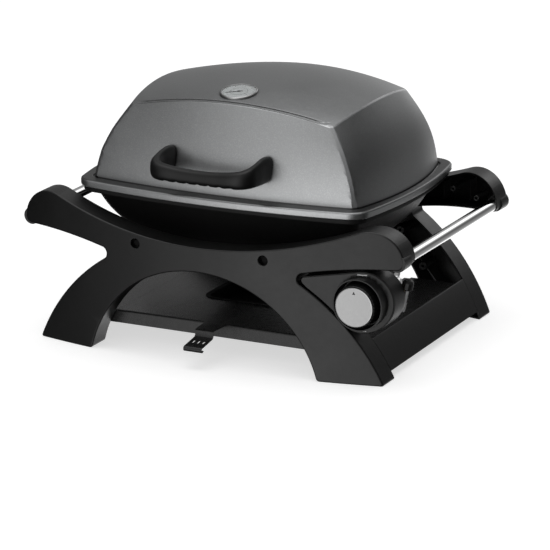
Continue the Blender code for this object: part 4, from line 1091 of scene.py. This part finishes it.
class Nodes:
    """A short way to build a node tree: each call makes a node and gives one of its outputs."""

    def __init__(self, tree):
        self.tree = tree

    def make(self, kind, inputs=None, out=0, **settings):
        node = self.tree.nodes.new(kind)
        for key, value in settings.items():
            setattr(node, key, value)
        for key, value in (inputs or {}).items():
            if isinstance(value, bpy.types.NodeSocket):
                self.tree.links.new(value, node.inputs[key])
            else:
                node.inputs[key].default_value = value
        return node.outputs[out]

    def maths(self, operation, a, b=0.0, clamp=False):
        return self.make("ShaderNodeMath", {0: a, 1: b}, operation=operation, use_clamp=clamp)

    def times(self, a, b):
        return self.maths("MULTIPLY", a, b)

    def noise(self, place, scale, detail=4.0, rough=0.5):
        return self.make("ShaderNodeTexNoise", {"Vector": place, "Scale": scale, "Detail": detail,
                                                "Roughness": rough})

    def span(self, value, low, high, to_low, to_high):
        return self.make("ShaderNodeMapRange", {"Value": value, "From Min": low, "From Max": high,
                                                "To Min": to_low, "To Max": to_high})

    def blend(self, share, one, two):
        """A mix of two colours, which are the Mix node's inputs 6 and 7."""
        return self.make("ShaderNodeMix", {0: share, 6: one, 7: two}, out=2, data_type="RGBA")


def new_finish(name):
    """An empty material, its node tree, a way to add nodes, and each point's place on the object."""
    made = bpy.data.materials.new(name)
    made.use_nodes = True
    n = Nodes(made.node_tree)
    return made, made.node_tree, n, n.make("ShaderNodeTexCoord", out="Object")


def colour(value, tint=(1.0, 1.0, 1.0)):
    return (value * tint[0], value * tint[1], value * tint[2], 1.0)


def surface(name, base, rough, metal=0.0, tint=(1, 1, 1), grain=(1400.0, 0.08), mottle=0.12, rough_vary=0.06,
            wear=0.25, wear_to=0.2, specular=0.5, brushed=None, ripple=0.05, speckle=0.0, painted_shade_reach=0.0):
    """A Principled finish with grain, an uneven gloss, a slight mottle and lighter edges.

    grain is its scale and its depth. brushed stretches the grain, speckle adds lighter flecks, and the last
    setting is how far the painted shade reaches into corners and creases; it also paints a shaded band round
    the lid's ledge.
    """
    made, tree, n, place = new_finish(name)
    shader = tree.nodes["Principled BSDF"]
    large = n.noise(place, 9.0, 3.0)
    small = n.noise(place, 120.0, 5.0, 0.6)
    fine_place = place
    if brushed:
        fine_place = n.make("ShaderNodeVectorMath", {0: place, 1: brushed}, operation="MULTIPLY")
    fine = n.noise(fine_place, grain[0], 3.0, 0.6)
    mix = n.maths("ADD", n.times(large, 0.6), n.times(small, 0.4))
    shown = n.blend(n.span(mix, 0.35, 0.65, 0.0, 1.0), colour(base * (1 - mottle), tint),
                    colour(base * (1 + mottle), tint))
    if speckle:
        dots = n.noise(place, 950.0, 2.0, 0.7)
        shown = n.blend(n.span(dots, 0.52, 0.72, 0.0, speckle), shown, colour(min(base * 2.6, 0.8), tint))
    point = n.make("ShaderNodeNewGeometry", out="Pointiness")
    edge = n.times(n.span(point, 0.53, 0.62, 0.0, 1.0), n.span(small, 0.35, 0.6, 0.2, 1.0))
    shown = n.blend(n.times(edge, wear), shown, colour(wear_to, tint))
    if painted_shade_reach:
        # Painted shade: ambient occlusion darkens the colour in corners, creases and the groove along the
        # lid's crest.
        painted_occlusion = n.make("ShaderNodeAmbientOcclusion", {"Distance": painted_shade_reach}, out="AO", samples=8)
        shown = n.blend(n.span(painted_occlusion, 0.5, 0.92, 0.88, 0.0), shown, colour(base * 0.08))
        # Painted shade: a dark band, picked out by height, round the lid's ledge.
        height = n.make("ShaderNodeSeparateXYZ", {"Vector": place}, out="Z")
        low, near, far, high = [(LID_LEDGE + step) * MM for step in LEDGE_SHADE]
        ledge_painted_shade = n.times(n.span(height, low, near, 0.0, 0.9), n.span(height, far, high, 1.0, 0.0))
        shown = n.blend(ledge_painted_shade, shown, colour(base * 0.2))
    tree.links.new(shown, shader.inputs["Base Color"])
    gloss = n.span(mix, 0.3, 0.7, rough - rough_vary, rough + rough_vary)
    gloss = n.maths("ADD", gloss, n.times(n.maths("SUBTRACT", fine, 0.5), 0.1), True)
    tree.links.new(gloss, shader.inputs["Roughness"])
    bump = n.make("ShaderNodeBump", {"Strength": grain[1], "Distance": 0.0006, "Height": fine})
    bump = n.make("ShaderNodeBump", {"Strength": ripple, "Distance": 0.002, "Height": small, "Normal": bump})
    tree.links.new(bump, shader.inputs["Normal"])
    shader.inputs["Metallic"].default_value = metal
    shader.inputs["Specular IOR Level"].default_value = specular
    return made


def glass(name):
    """A thin clear lens: it lets light through, and shines more towards its rim."""
    made, tree, n, place = new_finish(name)
    smear = n.span(n.noise(place, 60.0), 0.3, 0.7, 0.03, 0.12)
    rim = n.maths("POWER", n.make("ShaderNodeLayerWeight", {"Blend": 0.5}, out="Facing"), 5.0)
    clear = n.make("ShaderNodeBsdfTransparent", {"Color": (0.95, 0.96, 0.96, 1.0)})
    shine = n.make("ShaderNodeBsdfGlossy", {"Color": (1, 1, 1, 1), "Roughness": smear})
    both = n.make("ShaderNodeMixShader", {0: rim, 1: clear, 2: shine})
    tree.links.new(both, tree.nodes["Material Output"].inputs["Surface"])
    return made


# ---- stage


def heading(azimuth, elevation):
    """The direction of an azimuth, from the front towards the right, and an elevation."""
    a, e = math.radians(azimuth), math.radians(elevation)
    return (math.sin(a) * math.cos(e), -math.cos(a) * math.cos(e), math.sin(e))


def light_world():
    """A dim even sky with soft bright patches, which stand for the studio's lights and reflectors."""
    world = bpy.data.worlds.new("studio")
    world.use_nodes = True
    bpy.context.scene.world = world
    tree = world.node_tree
    n = Nodes(tree)
    way = n.make("ShaderNodeTexCoord", out="Generated")
    total = SKY
    for azimuth, elevation, tight, strength in LOBES:
        near = n.make("ShaderNodeVectorMath", {0: way, 1: heading(azimuth, elevation)}, out="Value",
                      operation="DOT_PRODUCT")
        fall = n.maths("EXPONENT", n.times(n.maths("SUBTRACT", near, 1.0), tight))
        total = n.maths("ADD", n.times(fall, strength), total)
    sky = tree.nodes["Background"]
    tree.links.new(total, sky.inputs["Strength"])
    sky.inputs["Color"].default_value = (1.0, 1.0, 1.0, 1.0)


def lay_floor():
    """A pale floor that the object's reflections and shading don't pick up."""
    bm = bmesh.new()
    bmesh.ops.create_grid(bm, x_segments=1, y_segments=1, size=30.0)
    mesh = bpy.data.meshes.new("floor")
    bm.to_mesh(mesh)
    bm.free()
    floor = linked("floor", mesh)
    paper, tree, n, place = new_finish("paper")
    grain = n.span(n.noise(place, 40.0, 6.0), 0.3, 0.7, FLOOR_SHADE * 0.985, FLOOR_SHADE)
    tone = n.make("ShaderNodeCombineColor", {0: grain, 1: grain, 2: grain})
    shader = tree.nodes["Principled BSDF"]
    tree.links.new(tone, shader.inputs["Base Color"])
    for socket, value in (("Roughness", 0.9), ("Specular IOR Level", 0.1),
                          ("Emission Color", (1.0, 1.0, 1.0, 1.0)), ("Emission Strength", FLOOR_GLOW)):
        shader.inputs[socket].default_value = value
    mesh.materials.append(paper)
    for ray in ("glossy", "diffuse", "shadow", "transmission"):
        setattr(floor, f"visible_{ray}", False)


def place_camera():
    lens = bpy.data.cameras.new("camera")
    lens.lens = LENS
    lens.sensor_width = 36.0
    lens.clip_end = 100.0
    camera = linked("camera", lens)
    back = Vector(heading(CAMERA_TURN, CAMERA_TILT))
    camera.location = CAMERA_AT
    camera.rotation_euler = (-back).to_track_quat("-Z", "Y").to_euler()
    bpy.context.scene.camera = camera
    bpy.context.scene.view_settings.view_transform = "Standard"


# ---- CAD nodes that stay


def dress(frame, finish, slot, width, *names):
    """CAD nodes keep their shape, with small bevels and a fine finish."""
    for name in names:
        node = frame["nodes"][name]
        node.data.materials.clear()
        node.data.materials.append(finish)
        node.data.shade_smooth()
        node.data.set_sharp_from_angle(angle=math.radians(35))
        step = node.modifiers.new("Edges", "BEVEL")
        step.width = width * MM
        step.segments = 2
        step.limit_method = "ANGLE"
        step.angle_limit = math.radians(35)
        step.harden_normals = True


def both(*names):
    """The names of a left and a right node for each name."""
    return [f"{name}_{hand}" for name in names for hand in ("left", "right")]


def main():
    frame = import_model()
    black = surface("black_moulding", 0.002, 0.37, specular=0.45, grain=(2300.0, 0.10), wear=0.12,
                    wear_to=0.06)
    # The grey enamel's last setting paints shade into its corners and creases and round the lid's ledge.
    grey = surface("grey_enamel", 0.31, 0.34, metal=0.97, tint=(0.985, 1.0, 1.01), grain=(700.0, 0.10),
                   mottle=0.04, wear=0.15, wear_to=0.5, speckle=0.25, painted_shade_reach=0.005)
    casting = surface("black_casting", 0.008, 0.5, metal=0.1, grain=(900.0, 0.3), specular=0.2, wear=0.1,
                      wear_to=0.06)
    grip = surface("black_grip", 0.003, 0.44, specular=0.34, grain=(1500.0, 0.12), wear=0.1, wear_to=0.05)
    satin = surface("satin_chrome", 0.85, 0.3, metal=1.0, grain=(500.0, 0.02), mottle=0.02, rough_vary=0.02,
                    wear=0.0)
    oxide = surface("black_oxide", 0.004, 0.5, grain=(900.0, 0.1), specular=0.06, wear=0.1, wear_to=0.03)
    chrome = surface("chrome", 0.82, 0.07, metal=1.0, grain=(500.0, 0.01), mottle=0.02, rough_vary=0.02,
                     wear=0.0)
    brushed = surface("brushed_steel", 0.36, 0.33, metal=1.0, grain=(90.0, 0.05), brushed=(4.0, 4.0, 60.0),
                      mottle=0.04, wear=0.1, wear_to=0.7)
    steel = surface("tray_steel", 0.014, 0.27, metal=0.1, grain=(800.0, 0.006), mottle=0.05, rough_vary=0.02,
                    wear=0.08, wear_to=0.1, ripple=0.006, specular=0.42)
    iron = surface("cast_iron", 0.03, 0.62, metal=0.2, grain=(600.0, 0.5), wear=0.2, wear_to=0.12)
    brass = surface("brass", 0.55, 0.32, metal=1.0, tint=(1.0, 0.78, 0.42), grain=(600.0, 0.08), wear=0.2,
                    wear_to=0.8)
    white = surface("dial_face", 0.55, 0.5, grain=(900.0, 0.03), mottle=0.03, wear=0.0)
    dark = surface("needle", 0.02, 0.45, grain=(900.0, 0.05), wear=0.1, wear_to=0.1)
    ceramic = surface("ceramic", 0.78, 0.35, tint=(1.0, 0.98, 0.94), grain=(500.0, 0.06), mottle=0.04,
                      wear=0.1, wear_to=0.6)
    lens = glass("lens")

    fine_frame("front_frame", -1, black)
    fine_frame("rear_frame", 1, black)
    fine_side_panels(black)
    fine_bars(chrome)
    fine_lid(grey)
    fine_handle(grip)
    fine_gauge(brushed, white, dark, lens)
    fine_bowl(casting)
    fine_controls(black, white)
    fine_knob(black, brushed, dark)
    fine_tray(steel, oxide)

    dress(frame, casting, "black_casting", 0.5, *both("hinge_leaf", "hinge_bracket", "bowl_cradle"))
    dress(frame, oxide, "black_casting", 0.3, *both("frame_bolt_front", "frame_bolt_rear"))
    dress(frame, brushed, "brushed_steel", 0.4, "valve_stem", "gauge_probe", "gauge_nut", "burner",
          *both("hinge_pin", "lid_handle_screw", "frame_nut_front", "frame_nut_rear"))
    dress(frame, iron, "cast_iron", 0.8, *both("cooking_grate"))
    dress(frame, steel, "tray_steel", 0.3, *both("tray_shelf"))
    dress(frame, brass, "brass", 0.3, "gas_valve")
    dress(frame, ceramic, "ceramic", 0.3, "igniter_electrode")
    dress(frame, satin, "chrome", 0.4, "gas_inlet", "inlet_tail")
    dress(frame, black, "black_moulding", 0.5, "inlet_elbow")

    light_world()
    lay_floor()
    place_camera()


main()
